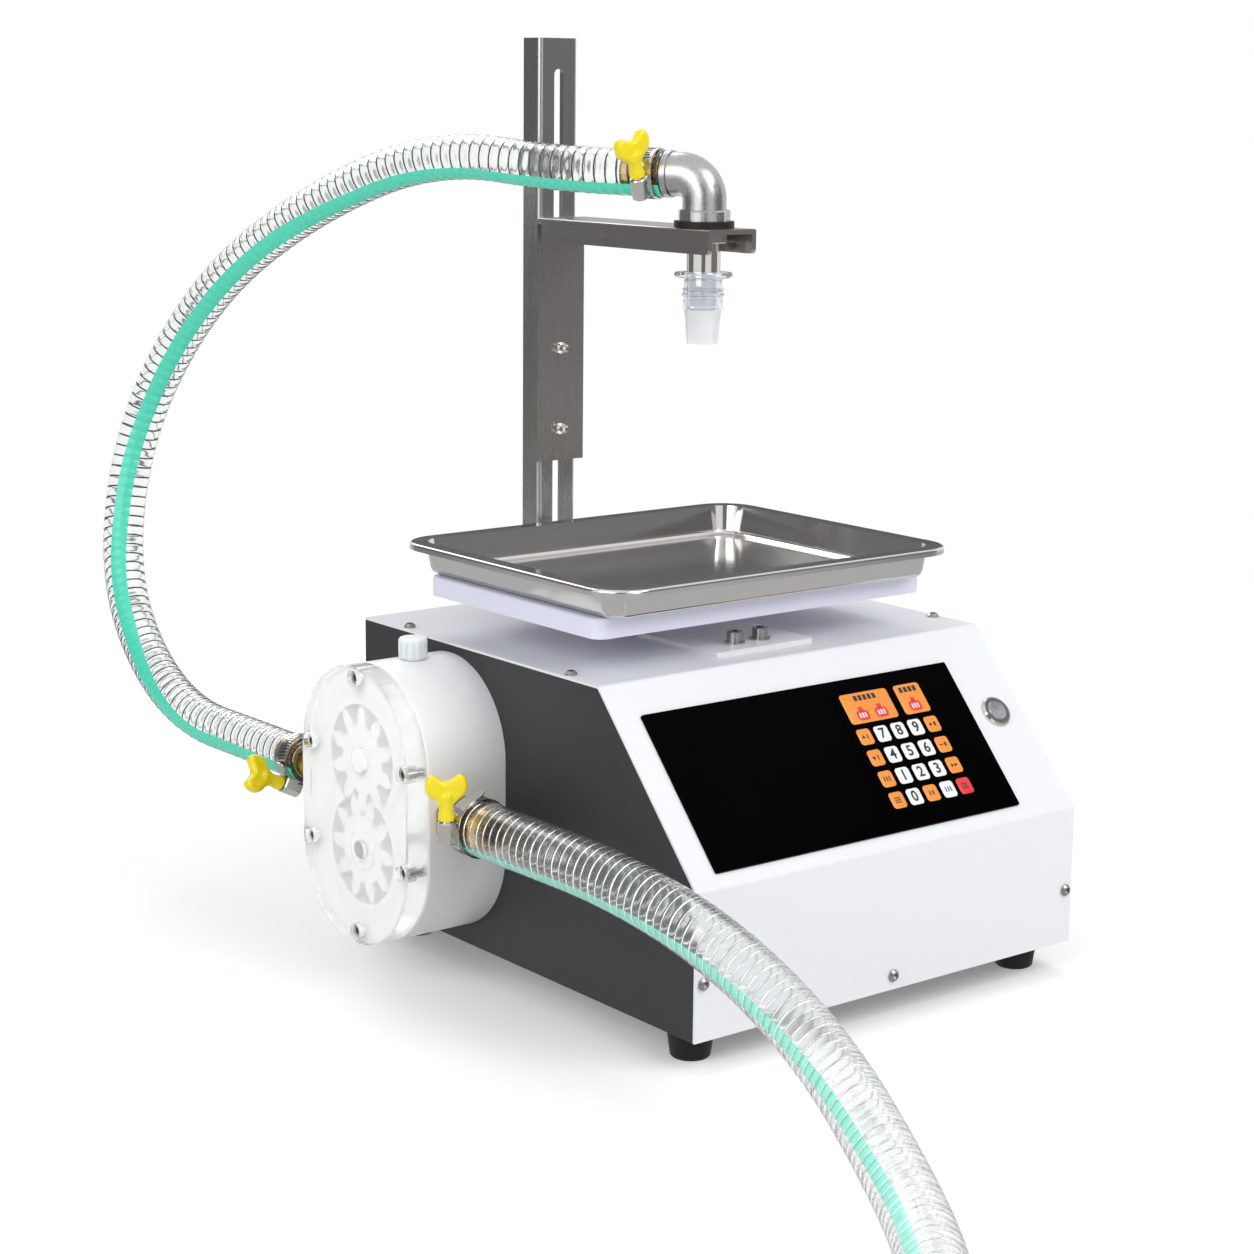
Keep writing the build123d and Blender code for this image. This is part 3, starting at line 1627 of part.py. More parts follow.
def clamp_places():
    """Centre, hose direction, side of the screw and hose radius of each clamp."""
    elbow_end = Vector(*outlet_points[-1])
    elbow_centre = elbow_end + elbow_direction * clamp_setback
    return {
        "inlet": (
            (port_x, inlet_hose_start_y - clamp_setback, pump_z),
            (0, 1, 0),
            inlet_screw_side,
            inlet_radius,
        ),
        "outlet": (
            (port_x, outlet_hose_start_y + clamp_setback, pump_z),
            (0, 1, 0),
            outlet_screw_side,
            outlet_radius,
        ),
        "elbow": (
            tuple(elbow_centre),
            tuple(elbow_direction),
            elbow_screw_side,
            outlet_radius,
        ),
    }


def route_radii(points):
    """Largest arc that each corner's two runs allow."""
    radii = []
    for before, here, after in zip(points, points[1:], points[2:]):
        first = Vector(*here) - Vector(*before)
        second = Vector(*after) - Vector(*here)
        half_turn = math.radians(first.get_angle(second)) / 2
        shorter = min(first.length, second.length)
        radii.append(0.45 * shorter / math.tan(half_turn))
    return radii


def make_hose(points, outer, wall):
    """Hollow hose along straight runs joined by tangent arcs."""
    radii = route_radii(points)
    print("radii", [round(radius) for radius in radii])
    path = FilletPolyline(*points, radius=radii)
    start = Plane(origin=path @ 0, z_dir=path % 0)
    hose = sweep(start * Circle(outer), path=path)
    hose -= sweep(start * Circle(outer - wall), path=path)
    expected = math.pi * (outer ** 2 - (outer - wall) ** 2) * path.length
    print("hose length", round(path.length, 1), "volume ratio", round(hose.volume / expected, 5))
    return hose


# Rear panel and electronics

def make_mains_inlet():
    """Three-pin inlet and switch frame, set through the rear wall."""
    z = rear_inlet_z + foot_height
    width = rear_inlet_width - 2 * hole_play
    height = rear_inlet_height - 2 * hole_play
    body = block(
        (rear_inlet_x - width / 2, rear_inlet_x + width / 2),
        (rear_y - rear_inlet_depth, rear_y),
        (z - height / 2, z + height / 2),
    )
    outline = RectangleRounded(
        rear_inlet_width + 2 * rear_bezel,
        rear_inlet_height + 2 * rear_bezel,
        rear_bezel_corner,
    )
    bezel = extrude(outline, rear_bezel_thickness)
    body += along((rear_inlet_x, rear_y, z), (0, 1, 0), (-1, 0, 0)) * bezel
    socket_z = z - height / 4
    body -= block(
        (rear_inlet_x - socket_width / 2, rear_inlet_x + socket_width / 2),
        (rear_y - socket_depth, rear_y + mouth_reach),
        (socket_z - socket_height / 2, socket_z + socket_height / 2),
    )
    pin_places = ((-pin_spread, -pin_drop), (pin_spread, -pin_drop), (0, pin_rise))
    for across, up in pin_places:
        x = rear_inlet_x + across
        body += block(
            (x - pin_width / 2, x + pin_width / 2),
            (rear_y - socket_depth - socket_seat, rear_y - mouth_reach),
            (socket_z + up - pin_height / 2, socket_z + up + pin_height / 2),
        )
    rocker_z = switch_z + foot_height
    half_length = switch_height / 2 + switch_play
    half_width_of_room = switch_width / 2 + switch_play
    body -= block(
        (rear_inlet_x - half_length, rear_inlet_x + half_length),
        (rear_y - switch_room, rear_y + mouth_reach),
        (rocker_z - half_width_of_room, rocker_z + half_width_of_room),
    )
    return body


def make_rocker():
    """Rocker of the mains switch, round at its pivot."""
    z = switch_z + foot_height
    half = switch_height / 2 - switch_dip
    outline = Polyline(
        (-half, switch_lift),
        (0, switch_lift - switch_dip),
        (half, switch_lift),
        (half - switch_dip, -switch_rim),
        (switch_rim, -switch_root),
        (-switch_rim, -switch_root),
        (-half + switch_dip, -switch_rim),
        close=True,
    )
    rocker = extrude(make_face(outline), (switch_width - switch_play) / 2, both=True)
    tilt = Pos(0, -switch_pivot_depth, 0) * Rot(0, 0, switch_tilt)
    place = Pos(rear_inlet_x, rear_y + switch_lift, z) * tilt
    return place * Pos(0, switch_pivot_depth, 0) * rocker


def make_power_supply():
    """Open-frame supply in its perforated case, screwed to the bottom."""
    bottom = base_top + supply_lift
    right = supply_left + supply_width
    back = supply_front_y + supply_length
    case = block((supply_left, right), (supply_front_y, back), (bottom, bottom + supply_depth))
    for x in (supply_left + supply_foot_inset, right - supply_foot_inset):
        for y in (supply_front_y + supply_foot_inset, back - supply_foot_inset):
            case += Pos(x, y, base_top) * rod(supply_foot_radius, supply_lift)
    return case


def make_control_board():
    """Control board behind the keypad, on posts from the slope."""
    centre_s = (keypad_start + keypad_end) / 2
    x = (keypad_left + keypad_right) / 2
    level = -sheet - board_gap - board_thickness
    board = on_slope(x, centre_s, level) * extrude(
        Rectangle(board_width, board_height), board_thickness
    )
    for side_x in (-1, 1):
        for side_s in (-1, 1):
            post = on_slope(
                x + side_x * (board_width / 2 - board_post_inset),
                centre_s + side_s * (board_height / 2 - board_post_inset),
                level + board_thickness,
            )
            board += post * rod(board_post_radius, board_gap)
    chip = on_slope(x, centre_s, level + board_thickness) * extrude(
        Rectangle(board_chip, board_chip), board_chip_height
    )
    return board + chip


# Assembly

def build_parts():
    parts = {
        "chassis": make_chassis(),
        "cover": make_cover(),
        "cover_screws": make_cover_screws(),
        "foot_screws": make_foot_screws(),
        "display_panel": make_display_panel(),
        "keypad": make_keypad(),
        "button_bezel": make_button_bezel(),
        "button_cap": make_button_cap(),
        "load_cell": make_load_cell(),
        "cell_spacer": make_cell_spacer(),
        "cell_plate": make_cell_plate(),
        "cell_screws": make_cell_screws(),
        "platform_riser": make_riser(),
        "platform": make_platform(),
        "platform_screws": make_platform_screws(),
        "tray": make_tray(),
        "column": make_column(),
        "column_bolts": make_column_bolts(),
        "carriage_arm": make_carriage(),
        "clamp_plate": make_clamp_plate(),
        "carriage_screws": make_carriage_screws(),
        "arm_washer": make_washer(),
        "elbow": make_elbow(),
        "elbow_barb": make_elbow_barb(),
        "nipple": make_nipple(),
        "lock_nut": make_lock_nut(),
        "nozzle_adapter": make_nozzle_adapter(),
        "nozzle_tip": make_nozzle_tip(),
        "pump_body": make_pump_body(),
        "pump_seal": make_pump_seal(),
        "pump_cover": make_pump_cover(),
        "pump_screws": make_pump_screws(),
        "drive_gear": make_drive_gear(),
        "idler_gear": make_idler_gear(),
        "drive_shaft": make_drive_shaft(),
        "drive_bush": make_drive_bush(),
        "shaft_seal": make_shaft_seal(),
        "relief_plug": make_relief_plug(),
        "motor_pillars": make_pillars(),
        "gearbox": make_gearbox(),
        "motor": make_motor(),
        "coupling": make_coupling(),
        "inlet_fitting": make_inlet_fitting(),
        "outlet_fitting": make_outlet_fitting(),
        "outlet_hose": make_hose(outlet_points, outlet_radius, outlet_wall),
        "inlet_hose": make_hose(inlet_points, inlet_radius, inlet_wall),
        "mains_inlet": make_mains_inlet(),
        "mains_rocker": make_rocker(),
        "power_supply": make_power_supply(),
        "control_board": make_control_board(),
    }
    for name, (x, y) in foot_places().items():
        parts[name] = make_foot(x, y)
    for name, (centre, axis, outward, radius) in clamp_places().items():
        frame = clamp_frame(centre, axis, outward)
        parts[name + "_clamp"] = frame * make_clamp_band(radius)
        parts[name + "_key"] = key_place(centre, axis, outward, radius) * make_clamp_key()
    return parts


os.makedirs("parts", exist_ok=True)
for name, part in build_parts().items():
    export_step(part, "parts/" + name + ".step")
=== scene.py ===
import json
import math

import bmesh
import bpy
from bpy.props import FloatProperty, FloatVectorProperty, IntProperty, PointerProperty
from bpy.types import Operator, Panel, PropertyGroup
from mathutils import Matrix, Vector


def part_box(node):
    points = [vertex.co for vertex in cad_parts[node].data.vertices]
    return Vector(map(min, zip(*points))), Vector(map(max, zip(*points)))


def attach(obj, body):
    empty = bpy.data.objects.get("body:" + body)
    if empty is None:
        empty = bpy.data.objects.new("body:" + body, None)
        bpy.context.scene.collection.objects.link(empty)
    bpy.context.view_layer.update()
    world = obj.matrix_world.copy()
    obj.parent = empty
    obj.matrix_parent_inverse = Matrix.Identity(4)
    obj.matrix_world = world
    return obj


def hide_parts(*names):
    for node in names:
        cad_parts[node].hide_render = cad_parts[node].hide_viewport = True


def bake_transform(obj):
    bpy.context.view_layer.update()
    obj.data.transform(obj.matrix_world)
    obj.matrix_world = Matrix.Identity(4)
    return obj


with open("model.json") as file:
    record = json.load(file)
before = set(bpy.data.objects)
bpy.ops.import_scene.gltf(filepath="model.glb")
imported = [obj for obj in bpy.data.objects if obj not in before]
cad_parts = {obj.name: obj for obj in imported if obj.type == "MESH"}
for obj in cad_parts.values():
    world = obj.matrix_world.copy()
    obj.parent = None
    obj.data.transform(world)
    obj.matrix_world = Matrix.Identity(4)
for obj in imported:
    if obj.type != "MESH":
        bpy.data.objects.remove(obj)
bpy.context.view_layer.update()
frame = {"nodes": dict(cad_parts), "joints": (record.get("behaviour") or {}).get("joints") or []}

bl_info = {
    "name": "Honey Filling Machine",
    "version": (1, 0, 0),
    "blender": (4, 5, 0),
    "location": "View3D > Sidebar > Filling Machine",
    "description": "Hoses, clamps, keypad and finishes of a honey filling machine",
    "category": "Object",
}

joints = {joint["name"]: joint for joint in frame["joints"]}

# Control points of the two hoses, from the pump to the elbow and to the tank
OUTLET_ROUTE = [
    (-0.186, 0.175, 0.1125),
    (-0.186, 0.226, 0.1125),
    (-0.202, 0.322, 0.1195),
    (-0.189, 0.422, 0.187),
    (-0.1625, 0.4425, 0.293),
    (-0.139, 0.381, 0.391),
    (-0.115, 0.287, 0.452),
    (-0.086, 0.179, 0.492),
    (-0.0535, 0.07852, 0.481),
    (-0.02535, 0.02328, 0.481),
]
INLET_ROUTE = [
    (-0.186, 0.0, 0.1125),
    (-0.186, -0.05, 0.1125),
    (-0.1795, -0.131, 0.1094),
    (-0.175, -0.216, 0.094),
    (-0.18, -0.299, 0.064),
    (-0.203, -0.378, 0.029),
    (-0.245, -0.45, 0.0168),
    (-0.307, -0.508, 0.0168),
    (-0.386, -0.539, 0.0168),
    (-0.466, -0.546, 0.0168),
    (-0.512, -0.542, 0.0168),
]
# Side of each hose that its green stripe faces, at shares of its length
OUTLET_STRIPE = [
    (0.00, (-0.83, -0.01, -0.55)),
    (0.12, (-0.92, -0.08, -0.38)),
    (0.25, (-0.74, -0.34, 0.57)),
    (0.35, (-0.54, -0.77, 0.33)),
    (0.45, (-0.51, -0.83, -0.21)),
    (0.55, (-0.60, -0.65, -0.47)),
    (0.65, (-0.71, -0.47, -0.52)),
    (0.74, (-0.57, -0.42, -0.71)),
    (0.84, (-0.60, -0.20, -0.77)),
    (1.00, (-0.58, -0.28, -0.76)),
]
INLET_STRIPE = [
    (0.00, (-0.59, 0.00, -0.80)),
    (0.12, (-0.70, -0.03, -0.71)),
    (0.25, (-0.88, 0.04, -0.47)),
    (0.36, (-0.99, 0.10, -0.10)),
    (0.46, (-0.94, 0.14, 0.30)),
    (0.56, (-0.73, 0.32, 0.61)),
    (1.00, (-0.30, 0.33, 0.90)),
]
# Each hose: its line, its stripe's side, the height of its ribs, its wire's finish
HOSES = {
    "outlet": (OUTLET_ROUTE, OUTLET_STRIPE, 0.0002, "dark_wire"),
    "inlet": (INLET_ROUTE, INLET_STRIPE, 0.00004, "bright_wire"),
}
HOSE_STEPS = 90
WIRE_POINTS = 22  # points of the helix in each turn
WIRE_DEPTH = 0.26  # depth of the wire's centre, as a share of the wall

# The clamps: centre, direction of the hose, side of the screw, hose radius, body
KEY_FACING = (-0.61, -0.77, 0.2)
ELBOW_AXIS = (-0.45399, 0.89101, 0.0)
CLAMPS = {
    "inlet": ((-0.186, -0.0095, 0.1125), (0, 1, 0), (-1, 0, 0), 0.0165, "machine"),
    "outlet": ((-0.186, 0.1845, 0.1125), (0, 1, 0), (-0.45, 0, -0.893), 0.014, "machine"),
    "elbow": (
        (-0.029663, 0.031745, 0.481), ELBOW_AXIS, (-0.81, -0.413, -0.42), 0.014,
        "carriage",
    ),
}
# Turn round the hose at which each band's free end leaves it, and the end's length
CLAMP_TAILS = {"inlet": (74, 0.009), "outlet": (50, 0.004), "elbow": (46, 0.003)}
# Inner and outer face of the steel band, from the hose's surface
BAND_GAP = 0.0002
BAND_OUTER = 0.001
# Slant of the band's slots, turn without slots each side of the screw, and turn at
# which the free end starts, in degrees
SLOT_SLANT = 14
SLOTS_SKIPPED = 38
TAIL_START = 16
# The screw over the band, and half the length of the barrel that holds it
CLAMP_AXIS_HEIGHT = 0.0044
SCREW_HEIGHT = BAND_OUTER + CLAMP_AXIS_HEIGHT
BARREL_HALF = 0.0065
# How far each key stands turned on its screw, in degrees
KEY_TURNS = {"inlet": 14, "outlet": 34, "elbow": 34}
# Foot of a key's wings, and the outline of its stem, along the screw from the barrel
WING_BASE = 0.0215
KEY_STEM = [
    (0.0, 0.0136), (0.0041, 0.0136), (0.0046, 0.0144), (0.0046, 0.0165),
    (0.0041, 0.0200), (0.0042, 0.0240), (0.0050, 0.0285), (0.0034, 0.0325), (0.0, 0.0335),
]

# The slope: depth of its upper edge behind the front, then places down it (S)
SLOPE_DEPTH = 0.0885
KEY_FIRST_X = 0.0155
KEY_FIRST_S = 0.0622
BLOCK_S = 0.0433
DASH_S = 0.0368
SIGN_S = 0.0483
SIGN_FOOT_S = 0.0440
# Heights of the keypad's layers, and the corners and edges of its keys
PAD_TOP = 0.0026
PRINT_HEIGHT = 0.00018
PRINT_TOP = PAD_TOP + PRINT_HEIGHT
SIGN_HEIGHT = 0.00007
MARK_HEIGHT = 0.00008
PAD_CORNER = (0.0022, 0.00008)
DIGIT_SIZE = 0.0095
# The two blocks over the keys: left side, right side, number of signs
BLOCKS = ((0.0105, 0.0487, 2), (0.0546, 0.0755, 1))
BLOCK_DEPTH = 0.0202
DASH_PITCH = 0.0037
SIGN_PITCH = 0.0150
LIGHT_PITCH = 0.0022
# Their plates: width, height, thickness, corner and eased edge
DASH = (0.0027, 0.0036, 0.00006, 0.0005, 0.00002)
SIGN = (0.0098, 0.0066, SIGN_HEIGHT, 0.0024, 0.00002)
SIGN_FOOT = (0.0034, 0.0030, SIGN_HEIGHT, 0.0006, 0.00002)
LIGHT = (0.0011, 0.0034, 0.00005, 0.0003, 0.00001)

MERGE = 1e-6  # points nearer than this become one
HAIR = 0.00006  # how far the clear plates stand off what they cover
FACE_BAND = 0.0002  # faces this near the pump cover's inner plane are frosted

# The camera that matches the photograph
CAMERA_PLACE = (-1.0263, -1.2048, 0.5315)
CAMERA_AZIMUTH = -38.44
CAMERA_ELEVATION = 11.64
CAMERA_ROLL = 0.61
CAMERA_LENS = 75.3
SENSOR_WIDTH = 36.0


def metres(name, description, default):
    return FloatProperty(
        name=name, description=description, default=default, unit="LENGTH")


def degrees(name, description, default):
    return FloatProperty(
        name=name, description=description, default=math.radians(default),
        subtype="ANGLE")


def tint(name, description, default):
    return FloatVectorProperty(
        name=name, description=description, default=default, min=0, max=1,
        subtype="COLOR")


class FillerSizes(PropertyGroup):
    """Sizes of the pieces that this file makes, in metres"""

    outlet_diameter: metres(
        "Outlet hose", "Outer diameter of the hose to the nozzle", 0.028)
    outlet_wall: metres("Outlet wall", "Wall thickness of the hose to the nozzle", 0.003)
    inlet_diameter: metres("Inlet hose", "Outer diameter of the hose to the tank", 0.033)
    inlet_wall: metres("Inlet wall", "Wall thickness of the hose to the tank", 0.0035)
    inlet_length: metres("Inlet length", "Length of the hose to the tank", 0.7725)
    outlet_pitch: metres(
        "Outlet wire pitch", "Wire spacing in the hose to the nozzle", 0.0074)
    inlet_pitch: metres(
        "Inlet wire pitch", "Wire spacing in the hose to the tank", 0.0060)
    outlet_wire: metres(
        "Outlet wire", "Thickness of the wire in the hose to the nozzle", 0.0011)
    inlet_wire: metres(
        "Inlet wire", "Thickness of the wire in the hose to the tank", 0.0012)
    outlet_stripe: degrees(
        "Outlet stripe", "Angle that the outlet hose's stripe covers", 45)
    inlet_stripe: degrees("Inlet stripe", "Angle that the inlet hose's stripe covers", 30)
    key_width: metres("Clamp key", "Width over a clamp key's wings", 0.025)
    key_height: metres("Key wings", "Height of a clamp key's wings", 0.018)
    key_thickness: metres("Key thickness", "Thickness of a clamp key's wings", 0.007)
    band_width: metres("Clamp band", "Width of a clamp's steel band", 0.011)
    band_slot_pitch: metres(
        "Band slots", "Distance between the slots of a clamp band", 0.0027)
    pad_size: metres("Key pad", "Side of a keypad key", 0.0106)
    pad_pitch_x: metres("Key spacing across", "Distance between key columns", 0.0138)
    pad_pitch_s: metres("Key spacing down", "Distance between key rows", 0.01435)
    knurl_count: IntProperty(
        name="Knurls", description="Ribs round the relief plug", default=48, min=12)


class FillerColours(PropertyGroup):
    """Colours of the finishes"""

    charcoal: tint("Charcoal", "Base and sides of the housing", (0.025, 0.0255, 0.028))
    light_sheet: tint(
        "Light sheet", "Top, slope and front of the housing", (0.82, 0.83, 0.85))
    clear_wall: tint("Hose wall", "Clear wall of the hoses", (0.97, 0.985, 0.98))
    mint: tint("Mint stripe", "Stripe along the outlet hose", (0.09, 0.70, 0.50))
    pale_mint: tint(
        "Pale mint", "Stripe that shows through the inlet hose's wall",
        (0.30, 0.82, 0.68))
    yellow: tint("Yellow keys", "Butterfly keys of the clamps", (0.90, 0.72, 0.0))
    orange: tint(
        "Orange keys", "Orange keys and blocks of the keypad", (0.86, 0.28, 0.03))
    red: tint("Red key", "Red key and signs of the keypad", (0.75, 0.02, 0.03))
    lavender: tint(
        "Platform", "Translucent platform under the tray", (0.78, 0.78, 0.92))


# Nodes

def fill(tree, node, inputs):
    """Links the sockets given to a node's inputs, and sets the others' values."""
    for label, value in inputs.items():
        if isinstance(value, bpy.types.NodeSocket):
            tree.links.new(value, node.inputs[label])
        else:
            node.inputs[label].default_value = value


def add_node(tree, kind, inputs=None, **settings):
    """Outputs of a new node with the settings and inputs given."""
    node = tree.nodes.new(kind)
    for name, value in settings.items():
        setattr(node, name, value)
    fill(tree, node, inputs or {})
    return node.outputs


def math_node(tree, operation, *values):
    """Result of a Math node over sockets or plain numbers."""
    return add_node(
        tree, "ShaderNodeMath", dict(enumerate(values)), operation=operation)[0]


def vector_node(tree, operation, *values, **scale):
    """Result of a Vector Math node over sockets."""
    inputs = {**dict(enumerate(values)), **scale}
    return add_node(tree, "ShaderNodeVectorMath", inputs, operation=operation)[0]


# Shader groups

def shader_group(name, size):
    """Shader group from a place and a size to a value and a height, and its inputs."""
    tree = bpy.data.node_groups.new(name, "ShaderNodeTree")
    for label, kind, default in (
        ("Vector", "NodeSocketVector", (0, 0, 0)), size,
        ("Low", "NodeSocketFloat", 0.0), ("High", "NodeSocketFloat", 1.0),
    ):
        socket = tree.interface.new_socket(label, in_out="INPUT", socket_type=kind)
        socket.default_value = default
    for label in ("Value", "Height"):
        tree.interface.new_socket(label, in_out="OUTPUT", socket_type="NodeSocketFloat")
    return tree, add_node(tree, "NodeGroupInput")


def close_group(tree, start, value, low, high, height):
    """Maps the middle of a value to the group's Low and High, and gives the height."""
    mapped = add_node(tree, "ShaderNodeMapRange", {
        "Value": value, "From Min": low, "From Max": high,
        "To Min": start["Low"], "To Max": start["High"]})
    add_node(tree, "NodeGroupOutput", {"Value": mapped["Result"], "Height": height})
    return tree


def grain_group():
    """Drawn-out lines, as a belt leaves on sheet and a tool on turned parts."""
    tree, start = shader_group(
        "Brushed Grain", ("Stretch", "NodeSocketVector", (1, 1, 1)))
    stretched = vector_node(tree, "MULTIPLY", start["Vector"], start["Stretch"])
    noise = add_node(tree, "ShaderNodeTexNoise", {
        "Vector": stretched, "Scale": 1.0, "Detail": 4.0, "Roughness": 0.65})["Fac"]
    return close_group(tree, start, noise, 0.3, 0.7, noise)


def mottle_group():
    """Soft clouding of a surface, at one scale, with finer breakup in it."""
    tree, start = shader_group("Mottle", ("Scale", "NodeSocketFloat", 40.0))
    noise = add_node(tree, "ShaderNodeTexNoise", {
        "Vector": start["Vector"], "Scale": start["Scale"], "Detail": 3.0,
        "Roughness": 0.55})["Fac"]
    return close_group(tree, start, noise, 0.32, 0.68, noise)


def spangle_group():
    """Crystals of a zinc coat over the lumps of a sand casting."""
    tree, start = shader_group("Zinc Spangle", ("Scale", "NodeSocketFloat", 300.0))
    place = {"Vector": start["Vector"], "Scale": start["Scale"]}
    cells = add_node(tree, "ShaderNodeTexVoronoi", place)["Color"]
    lumps = add_node(tree, "ShaderNodeTexNoise", {**place, "Detail": 4.0})["Fac"]
    shade = add_node(tree, "ShaderNodeSeparateColor", {"Color": cells})["Red"]
    both = math_node(tree, "MULTIPLY_ADD", shade, 0.45, lumps)
    return close_group(tree, start, both, 0.3, 1.2, lumps)


GROUPS = {}
FINISHES = {}


def surface(name, colour, spread, roughness, pattern, bump, depth, effect=None,
            clear=0.0, **sockets):
    """Material whose colour, roughness and relief follow one shared effect."""
    material = bpy.data.materials.new(name)
    material.use_nodes = True
    tree = material.node_tree
    grain = isinstance(pattern, tuple)
    effect = effect or ("Brushed Grain" if grain else "Mottle")
    group = add_node(tree, "ShaderNodeGroup", {
        "Vector": add_node(tree, "ShaderNodeTexCoord")["Object"],
        "Stretch" if grain else "Scale": pattern,
        "Low": roughness[0], "High": roughness[1]}, node_tree=GROUPS[effect])
    dark = [channel * (1 - spread) for channel in colour]
    light = [min(channel * (1 + spread), 1.0) for channel in colour]
    mixed = add_node(
        tree, "ShaderNodeMix", {0: group["Height"], 6: (*dark, 1), 7: (*light, 1)},
        data_type="RGBA")
    relief = add_node(tree, "ShaderNodeBump", {
        "Strength": bump, "Distance": depth, "Height": group["Height"]})
    inputs = {
        "Base Color": mixed[2], "Roughness": group["Value"], "Normal": relief["Normal"]}
    if clear:
        shadow = add_node(tree, "ShaderNodeLightPath")["Is Shadow Ray"]
        passed = math_node(tree, "MULTIPLY", shadow, clear)
        inputs["Alpha"] = math_node(tree, "SUBTRACT", 1.0, passed)
    for label, value in sockets.items():
        inputs[label.replace("_", " ")] = value
    fill(tree, tree.nodes["Principled BSDF"], inputs)
    return material


